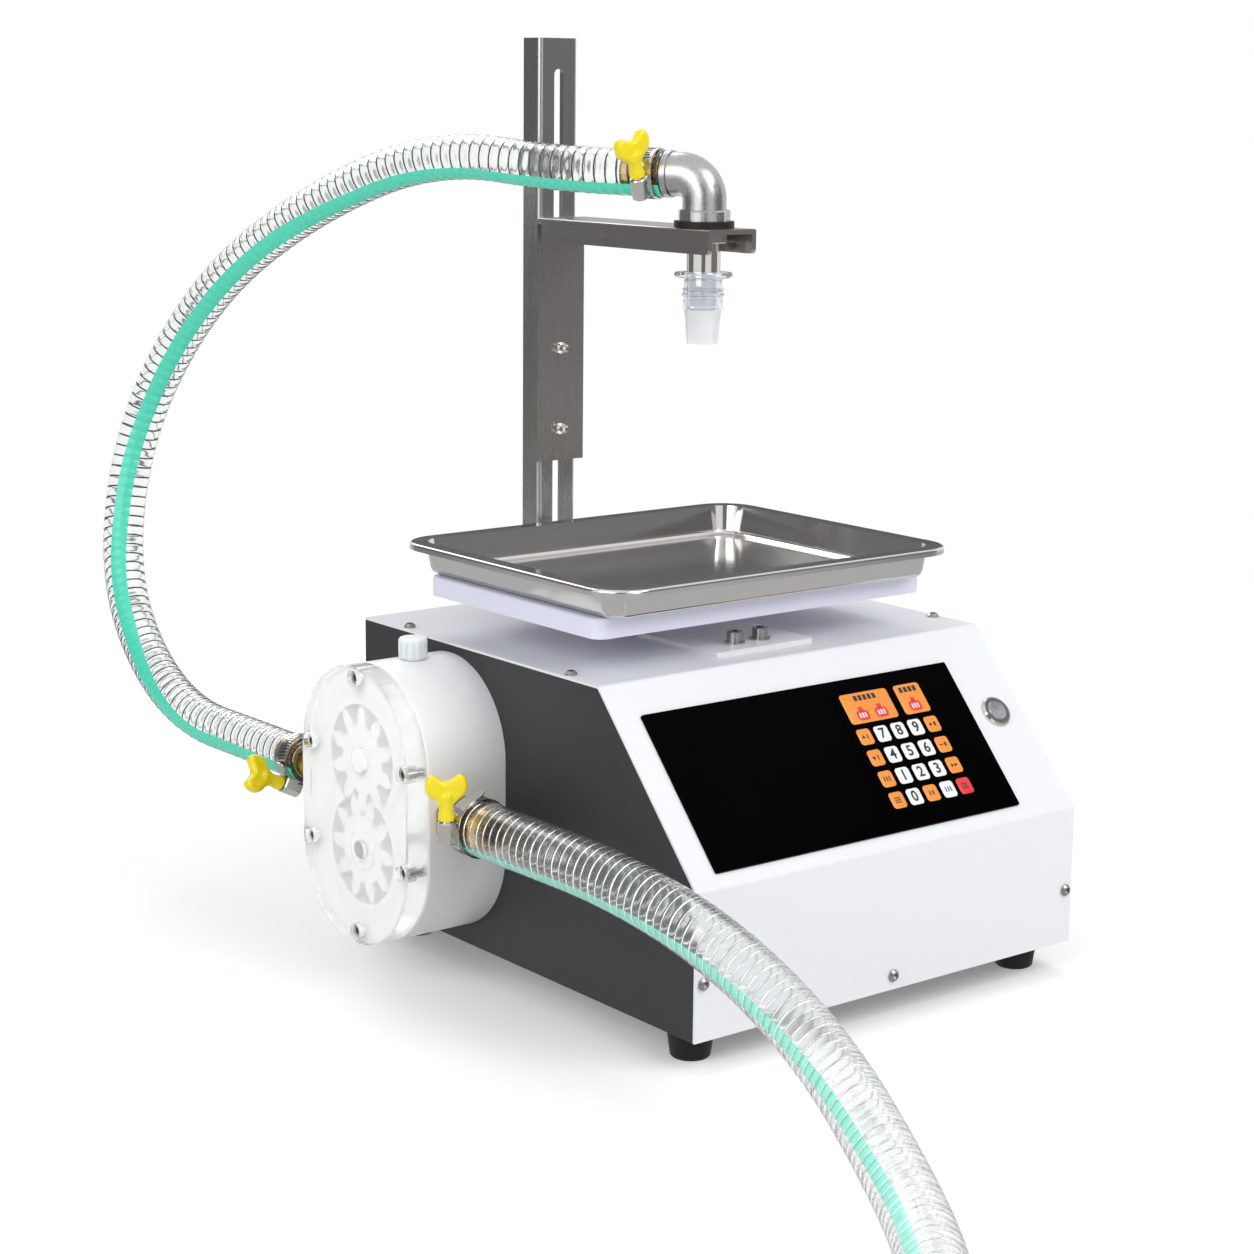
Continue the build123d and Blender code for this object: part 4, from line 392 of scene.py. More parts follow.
def make_finishes(colours):
    """The machine's finishes, by material slot."""
    for group in (grain_group(), mottle_group(), spangle_group()):
        GROUPS[group.name] = group
    metal = {"Metallic": 1.0}
    # Name, colour and its spread, roughness, scale or stretch, relief and its depth, more
    for name, *look, more in (
        ("charcoal_sheet", colours.charcoal, 0.12, (0.42, 0.52), 900, 0.12, 6e-05, {}),
        ("light_sheet", colours.light_sheet, 0.02, (0.3, 0.4), 700, 0.06, 5e-05, {}),
        ("steel", (0.6, 0.59, 0.57), 0.12, (0.14, 0.24),
         (900, 900, 60), 0.08, 5e-05, metal),
        ("polished_steel", (0.66, 0.64, 0.61), 0.05, (0.05, 0.11),
         120, 0.02, 4e-05, metal),
        ("satin_steel", (0.42, 0.42, 0.44), 0.03, (0.26, 0.3), 500, 0.01, 2e-05, metal),
        ("brushed_steel", (0.42, 0.41, 0.415), 0.05, (0.24, 0.29),
         (1800, 1800, 9), 0.04, 4e-05, metal),
        ("arm_steel", (0.47, 0.44, 0.425), 0.05, (0.24, 0.29),
         (1800, 9, 40), 0.03, 4e-05, metal),
        # Steel painted darker than steel is: painted shade and dark reflections on the shaft end
        # and screws
        ("journal_steel", (0.37, 0.365, 0.36), 0.05, (0.2, 0.26),
         400, 0.02, 0.0001, metal),
        ("tray_steel", (0.66, 0.645, 0.63), 0.04, (0.1, 0.14),
         (14, 260, 260), 0.03, 0.0001, metal),
        ("band_steel", (0.52, 0.5, 0.47), 0.06, (0.12, 0.18),
         (200, 1600, 200), 0.03, 4e-05, metal),
        ("aluminium", (0.68, 0.68, 0.69), 0.08, (0.3, 0.42),
         (700, 40, 700), 0.15, 0.0001, metal),
        ("black_glass", (0.0006, 0.0006, 0.0007), 0.3, (0.16, 0.22),
         30, 0.01, 0.0001, {"Specular_IOR_Level": 0.012}),
        ("keypad_film", (0.0006, 0.0006, 0.0007), 0.3, (0.2, 0.26),
         500, 0.02, 0.0001, {"Specular_IOR_Level": 0.012}),
        ("clear_acrylic", (0.93, 0.94, 0.95), 0.005, (0.06, 0.1),
         60, 0.01, 5e-05, {"clear": 0.92, "Transmission_Weight": 0.25, "IOR": 1.2}),
        ("pump_clear", (0.98, 0.98, 0.985), 0.01, (0.03, 0.06),
         80, 0.01, 5e-05, {"clear": 0.92, "Transmission_Weight": 0.92, "IOR": 1.49}),
        ("pump_frost", (0.97, 0.97, 0.975), 0.01, (0.1, 0.14),
         80, 0.01, 5e-05, {"clear": 0.92, "Transmission_Weight": 0.5, "IOR": 1.49}),
        ("lavender_acrylic", colours.lavender, 0.012, (0.28, 0.34),
         40, 0.003, 2e-05, {"Coat_Weight": 0.15, "Coat_Roughness": 0.15}),
        ("clear_plastic", (0.84, 0.87, 0.92), 0.01, (0.03, 0.06),
         150, 0.01, 3e-05, {"clear": 0.85, "Transmission_Weight": 0.9, "IOR": 1.42}),
        ("frosted_silicone", (0.91, 0.91, 0.92), 0.012, (0.3, 0.38),
         350, 0.03, 4e-05, {"clear": 0.6, "Transmission_Weight": 0.6, "IOR": 1.36}),
        ("black_rubber", (0.008, 0.008, 0.008), 0.3, (0.45, 0.6),
         900, 0.15, 0.0001, {"Specular_IOR_Level": 0.3}),
        ("white_rubber", (0.82, 0.82, 0.8), 0.03, (0.4, 0.5), 500, 0.1, 0.0001, {}),
        ("galvanised_iron", (0.44, 0.44, 0.45), 0.14, (0.25, 0.36),
         650, 0.15, 0.0002, {"effect": "Zinc Spangle", "Metallic": 1.0}),
        ("brass", (0.62, 0.42, 0.16), 0.12, (0.2, 0.32),
         (900, 60, 900), 0.12, 0.0001, metal),
        ("white_plastic", (0.9, 0.9, 0.9), 0.015, (0.3, 0.42),
         260, 0.05, 5e-05, {"Subsurface_Weight": 0.25, "Subsurface_Scale": 0.004}),
        ("black_metal", (0.03, 0.03, 0.03), 0.2, (0.35, 0.5), 500, 0.15, 0.0001, {}),
        ("black_plastic", (0.02, 0.02, 0.02), 0.2, (0.4, 0.5), 900, 0.2, 0.0001, {}),
        ("supply_case", (0.5, 0.5, 0.52), 0.1, (0.35, 0.45),
         (300, 20, 300), 0.1, 0.0001, {"Metallic": 0.6}),
        ("board_green", (0.03, 0.18, 0.08), 0.3, (0.3, 0.4), 300, 0.1, 0.0001, {}),
        ("clear_hose", colours.clear_wall, 0.01, (0.03, 0.06),
         160, 0.005, 3e-05, {"clear": 0.92, "Transmission_Weight": 0.99, "IOR": 1.36}),
        ("frosted_hose", colours.clear_wall, 0.01, (0.15, 0.19),
         160, 0.01, 3e-05, {"clear": 0.92, "Transmission_Weight": 0.985, "IOR": 1.36}),
        ("outlet_stripe", colours.mint, 0.06, (0.22, 0.3), 300, 0.05, 0.0001, {}),
        ("inlet_stripe", colours.pale_mint, 0.06, (0.28, 0.36), 300, 0.05, 0.0001, {}),
        ("bright_wire", (0.86, 0.85, 0.84), 0.08, (0.15, 0.25), 800, 0.05, 0.0001, metal),
        ("dark_wire", (0.05, 0.05, 0.052), 0.1, (0.25, 0.35),
         800, 0.05, 0.0001, {"Metallic": 0.4}),
        ("yellow_plastic", colours.yellow, 0.04, (0.16, 0.24),
         180, 0.04, 0.0001, {"Coat_Weight": 0.4, "Coat_Roughness": 0.08}),
        ("white_print", (0.86, 0.86, 0.86), 0.02, (0.35, 0.42), 500, 0.05, 0.0001, {}),
        ("orange_print", colours.orange, 0.04, (0.35, 0.42), 500, 0.05, 0.0001, {}),
        ("red_print", colours.red, 0.05, (0.35, 0.42), 500, 0.05, 0.0001, {}),
        ("ink", (0.015, 0.012, 0.01), 0.2, (0.4, 0.5), 500, 0.05, 0.0001, {}),
        # Dark plates on the clamp bands: painted shade that stands for the slots' holes
        ("band_slot", (0.1, 0.09, 0.08), 0.2, (0.3, 0.4),
         500, 0.05, 0.0001, {"Metallic": 0.8}),
    ):
        FINISHES[name] = surface(name, *look, **more)


# Geometry trees

def geometry_tree(name, **inputs):
    """Geometry tree with named inputs, and those inputs."""
    tree = bpy.data.node_groups.new(name, "GeometryNodeTree")
    for label, way, kind in (
        ("Geometry", "INPUT", "Geometry"), ("Geometry", "OUTPUT", "Geometry"),
        *((label.replace("_", " "), "INPUT", kind) for label, kind in inputs.items()),
        ("Material", "INPUT", "Material"),
    ):
        tree.interface.new_socket(label, in_out=way, socket_type="NodeSocket" + kind)
    return tree, add_node(tree, "NodeGroupInput")


def close_tree(tree, start, geometry):
    """Realize Instances and Set Material, which every tree ends in."""
    real = add_node(tree, "GeometryNodeRealizeInstances", {0: geometry})[0]
    dressed = add_node(tree, "GeometryNodeSetMaterial", {
        "Geometry": real, "Material": start["Material"]})
    add_node(tree, "NodeGroupOutput", {0: dressed[0]})
    return tree


def helix_tree():
    """A wire that winds round the line it is given."""
    tree, start = geometry_tree(
        "Wire Helix", Pitch="Float", Coil_Radius="Float", Wire_Radius="Float",
        Points="Int", Sides="Int")
    line = add_node(tree, "GeometryNodeMeshToCurve", {"Mesh": start["Geometry"]})
    resampled = add_node(tree, "GeometryNodeResampleCurve", {
        "Curve": line["Curve"], "Count": start["Points"]})
    along = add_node(tree, "GeometryNodeSplineParameter")["Length"]
    normal = add_node(tree, "GeometryNodeInputNormal")[0]
    tangent = add_node(tree, "GeometryNodeInputTangent")[0]
    turns = math_node(tree, "DIVIDE", along, start["Pitch"])
    angle = math_node(tree, "MULTIPLY", turns, 2 * math.pi)
    shares = [
        math_node(tree, "MULTIPLY", math_node(tree, kind, angle), start["Coil Radius"])
        for kind in ("COSINE", "SINE")]
    side = vector_node(tree, "CROSS_PRODUCT", tangent, normal)
    offset = vector_node(
        tree, "ADD", vector_node(tree, "SCALE", normal, Scale=shares[0]),
        vector_node(tree, "SCALE", side, Scale=shares[1]))
    moved = add_node(tree, "GeometryNodeSetPosition", {
        "Geometry": resampled["Curve"], "Offset": offset})
    profile = add_node(tree, "GeometryNodeCurvePrimitiveCircle", {
        "Resolution": start["Sides"], "Radius": start["Wire Radius"]})
    swept = add_node(tree, "GeometryNodeCurveToMesh", {
        "Curve": moved["Geometry"], "Profile Curve": profile["Curve"],
        "Fill Caps": True})
    return close_tree(tree, start, swept["Mesh"])


def round_tree():
    """Copies of the mesh it is given, spaced round local Z."""
    tree, start = geometry_tree(
        "Repeat Round", Count="Int", First_Angle="Float", Sweep="Float")
    step = math_node(tree, "DIVIDE", start["Sweep"], start["Count"])
    index = add_node(tree, "GeometryNodeInputIndex")[0]
    angle = math_node(
        tree, "ADD", math_node(tree, "MULTIPLY", index, step), start["First Angle"])
    points = add_node(tree, "GeometryNodePoints", {"Count": start["Count"]})
    copies = add_node(tree, "GeometryNodeInstanceOnPoints", {
        "Points": points[0], "Instance": start["Geometry"],
        "Rotation": add_node(tree, "ShaderNodeCombineXYZ", {"Z": angle})[0]})
    return close_tree(tree, start, copies["Instances"])


def points_tree():
    """A copy of the Unit at every vertex of the mesh it is given."""
    tree, start = geometry_tree("Repeat At Points", Unit="Object")
    unit = add_node(tree, "GeometryNodeObjectInfo", {"Object": start["Unit"]})
    copies = add_node(tree, "GeometryNodeInstanceOnPoints", {
        "Points": start["Geometry"], "Instance": unit["Geometry"]})
    return close_tree(tree, start, copies["Instances"])


TREES = {}


def grown(obj, tree_name, **inputs):
    """Runs a geometry tree on an object and returns its result as a plain mesh."""
    if not TREES:
        TREES.update({tree.name: tree for tree in (
            helix_tree(), round_tree(), points_tree())})
    modifier = obj.modifiers.new(tree_name, "NODES")
    modifier.node_group = TREES[tree_name]
    for item in TREES[tree_name].interface.items_tree:
        if item.in_out == "INPUT" and item.name != "Geometry":
            modifier[item.identifier] = inputs[item.name.replace(" ", "_")]
    return taken(obj)


# Meshes

def linked(name, data):
    obj = bpy.data.objects.new(name, data)
    bpy.context.scene.collection.objects.link(obj)
    return obj


def taken(obj):
    """Final mesh of an object, which goes."""
    bpy.context.view_layer.update()
    graph = bpy.context.evaluated_depsgraph_get()
    mesh = bpy.data.meshes.new_from_object(obj.evaluated_get(graph))
    bpy.data.objects.remove(obj)
    return mesh


def mesh_of(verts, faces, edges=()):
    mesh = bpy.data.meshes.new("part")
    mesh.from_pydata([tuple(v) for v in verts], list(edges), faces)
    mesh.update()
    return mesh


def painted(mesh, *finishes):
    """The mesh with only the finishes given."""
    mesh.materials.clear()
    for finish in finishes:
        mesh.materials.append(FINISHES[finish])
    return mesh


def joined(meshes):
    """One mesh from several, with every face keeping its own material."""
    build = bmesh.new()
    materials = []
    for mesh in meshes:
        first = len(build.faces)
        own = list(mesh.materials)
        build.from_mesh(mesh)
        build.faces.ensure_lookup_table()
        for face in build.faces[first:]:
            material = own[face.material_index] if own else None
            if material not in materials:
                materials.append(material)
            face.material_index = materials.index(material)
    result = bpy.data.meshes.new("joined")
    build.to_mesh(result)
    build.free()
    for material in materials:
        result.materials.append(material)
    return result


def piece(name, mesh, body, material=None, angle=40.0):
    """A finished piece on its body, smooth but for edges sharper than the angle."""
    if material is not None:
        painted(mesh, material)
    mesh.shade_smooth()
    mesh.set_sharp_from_angle(angle=math.radians(angle))
    mesh.name = name
    obj = linked(name, mesh)
    if body is not None:
        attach(obj, body)
    return obj


def placed(mesh, matrix):
    mesh.transform(matrix)
    mesh.update()
    return mesh


def circle(steps):
    """Cosine and sine of evenly spaced turns."""
    turns = [2 * math.pi * step / steps for step in range(steps)]
    return [(math.cos(turn), math.sin(turn)) for turn in turns]


def strips(rings, count, first=0, closed=False):
    """Faces between rings of points, each ring with its neighbour."""
    faces = []
    for ring in range(rings if closed else rings - 1):
        low, high = first + ring * count, first + (ring + 1) % rings * count
        for step in range(count):
            after = (step + 1) % count
            faces.append((low + step, low + after, high + after, high + step))
    return faces


def caps(rings, count):
    """Faces that close the first ring and the last."""
    last = (rings - 1) * count
    return [tuple(range(count - 1, -1, -1)), tuple(range(last, last + count))]


def outward(mesh, merge=0.0):
    """The closed mesh, near points merged, with all its faces turned outwards."""
    build = bmesh.new()
    build.from_mesh(mesh)
    if merge:
        bmesh.ops.remove_doubles(build, verts=build.verts, dist=merge)
    bmesh.ops.recalc_face_normals(build, faces=build.faces)
    build.to_mesh(mesh)
    build.free()
    return mesh


def lathe(profile, steps=32):
    """Surface of revolution about local Z from (radius, height) points."""
    verts = [
        (radius * cosine, radius * sine, height)
        for radius, height in profile for cosine, sine in circle(steps)]
    faces = strips(len(profile), steps) + caps(len(profile), steps)
    return outward(mesh_of(verts, faces), MERGE)


def ring_lathe(profile, steps=48):
    """Closed ring about local Z from a closed (radius, height) profile."""
    verts = [
        (radius * cosine, radius * sine, height)
        for cosine, sine in circle(steps) for radius, height in profile]
    return outward(mesh_of(verts, strips(steps, len(profile), closed=True)))


def rounded_plate(width, height, thickness, corner, edge, steps=5):
    """Flat plate with round corners and eased upper edge, standing on local Z 0."""
    outline = []
    for sign_x, sign_y, first in ((1, 1, 0), (-1, 1, 90), (-1, -1, 180), (1, -1, 270)):
        for step in range(steps + 1):
            turn = math.radians(first + 90 * step / steps)
            outline.append((sign_x, sign_y, math.cos(turn), math.sin(turn)))
    levels = [(0.0, 0.0), (thickness - edge, 0.0), (thickness - edge * 0.3, edge * 0.3),
              (thickness, edge)]
    verts = []
    for z, inset in levels:
        radius = max(corner - inset, 1e-5)
        for sign_x, sign_y, cosine, sine in outline:
            verts.append((
                sign_x * (width / 2 - corner) + radius * cosine,
                sign_y * (height / 2 - corner) + radius * sine, z))
    rings, count = len(levels), len(outline)
    return mesh_of(verts, strips(rings, count) + caps(rings, count))


def block(size, centre):
    """Small block with its six faces outwards."""
    x, y, z = (value / 2 for value in size)
    verts = [
        (centre[0] + i * x, centre[1] + j * y, centre[2] + k * z)
        for i in (-1, 1) for j in (-1, 1) for k in (-1, 1)]
    return mesh_of(verts, [
        (0, 1, 3, 2), (4, 6, 7, 5), (0, 4, 5, 1), (2, 3, 7, 6), (0, 2, 6, 4),
        (1, 5, 7, 3)])


def axes_matrix(origin, x_axis, y_axis, z_axis):
    rows = zip(x_axis, y_axis, z_axis, origin)
    return Matrix((*rows, (0, 0, 0, 1)))


def frame_matrix(origin, z_axis, x_hint):
    """Place with local Z along z_axis and local X as near to x_hint as it can be."""
    z_axis = Vector(z_axis).normalized()
    x_axis = Vector(x_hint)
    x_axis = (x_axis - z_axis * x_axis.dot(z_axis)).normalized()
    return axes_matrix(origin, x_axis, z_axis.cross(x_axis), z_axis)


def spline_curve(name, kind, points, cyclic=False, **settings):
    """Curve that runs smoothly by its control points, as an object."""
    curve = bpy.data.curves.new(name, "CURVE")
    curve.dimensions = kind
    for label, value in settings.items():
        setattr(curve, label, value)
    spline = curve.splines.new("NURBS")
    spline.points.add(len(points) - 1)
    for point, place in zip(spline.points, points):
        point.co = (*place, 1)
    spline.order_u = 3
    spline.use_cyclic_u = cyclic
    spline.use_endpoint_u = not cyclic
    return linked(name, curve)


# Hoses

def route_line(points):
    """Points of the smooth line that a hose follows, from its control points."""
    mesh = taken(spline_curve("route", "3D", points, resolution_u=HOSE_STEPS))
    line = [vertex.co.copy() for vertex in mesh.vertices]
    bpy.data.meshes.remove(mesh)
    first = Vector(points[0])
    if (line[0] - first).length > (line[-1] - first).length:
        line.reverse()
    return line


def directions(line):
    """Unit direction of the line at each of its points."""
    befores = [line[0], *line[:-1]]
    afters = [*line[1:], line[-1]]
    return [(after - before).normalized() for before, after in zip(befores, afters)]


def carried_frames(line):
    """Directions across the line that turn as little as they can along it."""
    tangents = directions(line)
    side = Vector((0, 0, 1)).cross(tangents[0]).normalized()
    frames = []
    for tangent in tangents:
        side = (side - tangent * side.dot(tangent)).normalized()
        frames.append((side.copy(), tangent.cross(side)))
    return frames


def run_lengths(line):
    """Length of the line up to each of its points."""
    lengths = [0.0]
    for before, after in zip(line, line[1:]):
        lengths.append(lengths[-1] + (after - before).length)
    return lengths


def tube_mesh(line, outer, inner, pitch, rib_height, sides=36):
    """Hose wall with open ends: ribbed clear skin, smooth frosted bore, two end rings."""
    verts = []
    stations = list(zip(line, carried_frames(line), run_lengths(line)))
    for radius, rib in ((outer - rib_height, rib_height), (inner, 0.0)):
        for place, (side, up), run in stations:
            for step in range(sides):
                turn = 2 * math.pi * step / sides
                reach = radius + rib * math.cos(2 * math.pi * run / pitch - turn)
                out = side * math.cos(turn) + up * math.sin(turn)
                verts.append(place + out * reach)
    count = len(line)
    faces = strips(count, sides)
    faces += [face[::-1] for face in strips(count, sides, count * sides)]
    for ring, flip in ((0, True), (count - 1, False)):
        for step in range(sides):
            after = (step + 1) % sides
            a, b = ring * sides + step, ring * sides + after
            c, d = (count + ring) * sides + after, (count + ring) * sides + step
            faces.append((a, d, c, b) if flip else (a, b, c, d))
    mesh = painted(mesh_of(verts, faces), "clear_hose", "frosted_hose")
    skin_faces = (count - 1) * sides
    for polygon in mesh.polygons[skin_faces:2 * skin_faces]:
        polygon.material_index = 1
    return mesh


def stripe_mesh(line, facings, radius, thickness, angle, pitch, rib, steps=6):
    """Strip along the hose wall, on the side that the facings give."""
    lengths = run_lengths(line)
    verts, faces = [], []
    for place, tangent, run in zip(line, directions(line), lengths):
        share = run / lengths[-1]
        for (low, first), (high, second) in zip(facings, facings[1:]):
            if low <= share <= high + 1e-9:
                blend = (share - low) / (high - low)
                facing = Vector(first).lerp(Vector(second), blend)
        facing = (facing - tangent * facing.dot(tangent)).normalized()
        across = tangent.cross(facing)
        lift = rib * math.cos(2 * math.pi * run / pitch)
        for level in (radius + lift, radius + lift - thickness):
            for step in range(steps + 1):
                turn = angle * (step / steps - 0.5)
                out = facing * math.cos(turn) + across * math.sin(turn)
                verts.append(place + out * level)
    inner = steps + 1
    row = 2 * inner
    for low in range(0, (len(line) - 1) * row, row):
        high = low + row
        for step in range(steps):
            faces.append((low + step, low + step + 1, high + step + 1, high + step))
            faces.append((
                low + inner + step, high + inner + step,
                high + inner + step + 1, low + inner + step + 1))
        faces.append((low, high, high + inner, low + inner))
        faces.append((low + steps, low + row - 1, high + row - 1, high + steps))
    last = (len(line) - 1) * row
    for step in range(steps):
        faces.append((step, step + inner, step + inner + 1, step + 1))
        faces.append((
            last + step, last + step + 1, last + step + inner + 1, last + step + inner))
    return outward(mesh_of(verts, faces))


def wire_mesh(line, pitch, coil_radius, wire_radius, finish):
    """Helix of wire in the hose wall."""
    edges = [(index, index + 1) for index in range(len(line) - 1)]
    path = linked("wire_path", mesh_of(line, [], edges))
    return grown(
        path, "Wire Helix", Pitch=pitch, Coil_Radius=coil_radius, Wire_Radius=wire_radius,
        Points=int(run_lengths(line)[-1] / pitch * WIRE_POINTS), Sides=6,
        Material=FINISHES[finish])


def make_hoses(sizes):
    """Both hoses: clear wall, wire helix, and a stripe on the wall or inside it."""
    for name, (route, facings, rib, finish) in HOSES.items():
        diameter, wall, pitch, wire_size, angle = (
            getattr(sizes, name + "_" + size)
            for size in ("diameter", "wall", "pitch", "wire", "stripe"))
        outlet = name == "outlet"
        line = route_line(route)
        outer = diameter / 2
        body = None if outlet else "machine"
        tube = piece(
            name + "_hose_wall", tube_mesh(line, outer, outer - wall, pitch, rib), body,
            None, 60)
        coil = wire_mesh(line, pitch, outer - WIRE_DEPTH * wall, wire_size / 2, finish)
        wire = piece(name + "_hose_wire", coil, body, finish, 60)
        radius, thickness, lift = (
            (outer, 0.0005, rib) if outlet else (outer - 0.8 * wall, 0.0004, 0))
        strip = piece(
            name + "_hose_stripe",
            stripe_mesh(line, facings, radius, thickness, angle, pitch, lift), body,
            name + "_stripe", 60)
        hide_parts(name + "_hose")
        if outlet:
            for part in (tube, wire, strip):
                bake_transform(part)


# Clamps and their keys

def clamp_matrix(name):
    centre, axis, screw_side, _, _ = CLAMPS[name]
    return frame_matrix(centre, axis, screw_side)


def key_matrix(name):
    """Place of a clamp's key: local Z along its screw, wings across the view."""
    centre, axis, screw_side, radius, _ = CLAMPS[name]
    out = Vector(screw_side).normalized()
    tangent = Vector(axis).cross(out).normalized()
    origin = Vector(centre) + out * (radius + SCREW_HEIGHT) - tangent * BARREL_HALF
    turn = Matrix.Rotation(math.radians(KEY_TURNS[name]), 4, "Z")
    return frame_matrix(origin, tangent, tangent.cross(Vector(KEY_FACING))) @ turn


def wing_mesh(sizes):
    """Butterfly plate of a key: two round wings with a dip between them."""
    half = sizes.key_width / 2
    base = WING_BASE
    top = base + 0.0021 + sizes.key_height
    outline = [
        (0.0040, base), (0.0050, base + 0.0035), (half * 0.86, base + 0.0075),
        (half, base + 0.0115), (half * 0.93, top - 0.0022), (half * 0.62, top),
        (half * 0.34, top - 0.0028), (0.0, top - 0.0050),
    ]
    points = [(u, v, 0) for u, v in outline + [(-u, v) for u, v in outline[-2::-1]]]
    edge = sizes.key_thickness * 0.36
    wings = spline_curve(
        "wings", "2D", points, cyclic=True, fill_mode="BOTH", bevel_depth=edge,
        extrude=sizes.key_thickness / 2 - edge, bevel_resolution=3, offset=-edge,
        resolution_u=5)
    return placed(taken(wings), Matrix.Rotation(math.pi / 2, 4, "X"))


def key_mesh(sizes):
    """Moulded key: flared stem run smoothly into the two wings."""
    obj = linked("key", joined([wing_mesh(sizes), lathe(KEY_STEM, 28)]))
    remesh = obj.modifiers.new("skin", "REMESH")
    remesh.mode = "VOXEL"
    remesh.voxel_size = 0.00042
    smooth = obj.modifiers.new("smooth", "SMOOTH")
    smooth.factor = 0.5
    smooth.iterations = 8
    return painted(taken(obj), "yellow_plastic")


def worm_mesh(turns=7):
    """Worm screw of a clamp, with its thread as rings."""
    core, crest, threaded, length = 0.0026, 0.0031, 0.0128, 0.0140
    profile = [(0.0, 0.0), (core, 0.0)]
    step = threaded / turns
    for index in range(turns):
        z = index * step
        profile += [(core, z + 0.1 * step), (crest, z + 0.35 * step),
                    (crest, z + 0.6 * step), (core, z + 0.85 * step)]
    profile += [(core, length), (0.0, length)]
    return painted(lathe(profile, 20), "steel")


def swept_strip(stations):
    """Solid strip through (radius, thickness, half width, turn, slide) stations."""
    verts = []
    for radius, thickness, half, turn, slide in stations:
        out = Vector((math.cos(turn), math.sin(turn), 0))
        along = Vector((-out.y, out.x, 0)) * slide
        for reach, z in ((radius, -half), (radius + thickness, -half),
                         (radius + thickness, half), (radius, half)):
            verts.append(out * reach + along + Vector((0, 0, z)))
    rings = len(stations)
    return outward(mesh_of(verts, strips(rings, 4) + caps(rings, 4)))


def barrel_mesh(outer, steps=32):
    """Screw housing of a clamp: round outside, square towards the band, bored."""
    axis = outer + CLAMP_AXIS_HEIGHT
    depth = CLAMP_AXIS_HEIGHT + 0.0008
    bore, wall, half, ease = 0.0037, 0.0050, BARREL_HALF, 0.0006
    loops = [(wall - ease, -half), (wall, ease - half), (wall, half - ease),
             (wall - ease, half), (bore, half), (bore, -half)]
    verts = []
    for reach, y in loops:
        for across, along in circle(steps):
            if across < 0 and reach > bore:
                square = max(-across, abs(along))
                across *= depth / reach / square
                along /= square
            verts.append((axis + reach * across, y, reach * along))
    return outward(mesh_of(verts, strips(len(loops), steps, closed=True)))


def clamp_mesh(sizes, radius, tail_turn, tail_length):
    """Clamp about local Z, screw towards local X: band, saddle, barrel and free end."""
    inner, outer = radius + BAND_GAP, radius + BAND_OUTER
    half = sizes.band_width / 2
    lip = outer + 0.0003
    band = ring_lathe([
        (inner, -half), (lip, -half), (lip, 0.0008 - half), (outer, 0.0014 - half),
        (outer, half - 0.0014), (lip, half - 0.0008), (lip, half), (inner, half)], 72)
    sweep = [
        math.radians(TAIL_START + (tail_turn - TAIL_START) * step / 14)
        for step in range(15)]
    under, thickness, width = outer + 0.0002, 0.0007, half - 0.0006
    tail = [(under, thickness, width, turn, 0.0) for turn in sweep]
    for share in (0.3, 0.6, 0.85, 1.0):
        tail.append((
            under + 0.0012 * share * share, thickness, width * (1 - 0.45 * share ** 3),
            sweep[-1], tail_length * share))
    saddle = [
        (outer + 0.00005, 0.0009, 0.0066 - 0.0012 * abs(step) / 8,
         math.radians(34 * step / 8), 0.0) for step in range(-8, 9)]
    return joined([
        painted(band, "band_steel"), painted(swept_strip(tail), "band_steel"),
        painted(swept_strip(saddle), "polished_steel"),
        painted(barrel_mesh(outer), "polished_steel")])


def make_clamps(sizes):
    """Steel clamps with their worm screws and butterfly keys, and band slots drawn as dark
    plates of painted shade.
    """
    moulded = key_mesh(sizes)
    for name, (_, _, _, radius, body) in CLAMPS.items():
        place = clamp_matrix(name)
        steel = placed(clamp_mesh(sizes, radius, *CLAMP_TAILS[name]), place)
        obj = piece(name + "_clamp_steel", steel, body)
        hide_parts(name + "_clamp")
        key = placed(joined([moulded, worm_mesh()]), key_matrix(name))
        obj = piece(name + "_butterfly", key, name + "_key", None, 50)
        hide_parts(name + "_key")
        outer = radius + BAND_OUTER
        # Each slot is a thin dark plate on the band's face, painted shade where the band has a
        # hole
        bar = block((0.00022, 0.0010, sizes.band_width * 0.62), (0, 0, 0))
        bar.transform(Matrix.Rotation(math.radians(SLOT_SLANT), 4, "X"))
        bar.transform(Matrix.Translation((outer, 0, 0)))
        skipped = math.radians(SLOTS_SKIPPED)
        slots = grown(
            linked("slot", bar), "Repeat Round", First_Angle=skipped,
            Count=int(2 * math.pi * outer / sizes.band_slot_pitch),
            Sweep=2 * math.pi - 2 * skipped, Material=FINISHES["band_slot"])
        piece(name + "_band_slots", placed(slots, place), body, "band_slot")


# Control panel

def slope_matrix(x, s, height):
    """Place on the slope: local Y up the slope, local Z out of it."""
    normal = -Vector(joints["start_press"]["axis"])
    down = Vector((0, -normal.z, normal.y)).normalized()
    if down.z > 0:
        down = -down
    low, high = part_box("cover")
    edge = Vector((0, low.y + SLOPE_DEPTH, high.z))
    origin = edge + down * s + normal * height + Vector((x, 0, 0))
    return axes_matrix(origin, (1, 0, 0), -down, normal)


def text_mesh(text, size, thickness):
    """Plain characters as a thin solid, centred."""
    curve = bpy.data.curves.new("text", "FONT")
    curve.body = text
    curve.size = size
    curve.align_x = "CENTER"
    curve.align_y = "CENTER"
    curve.extrude = thickness / 2
    curve.offset = size * 0.022
    curve.resolution_u = 4
    return taken(linked("text", curve))


def polygon_mesh(points, thickness):
    """Flat shape of the given outline, as a thin solid."""
    verts = [(x, y, z) for z in (-thickness / 2, thickness / 2) for x, y in points]
    return mesh_of(verts, caps(2, len(points)) + strips(2, len(points)))


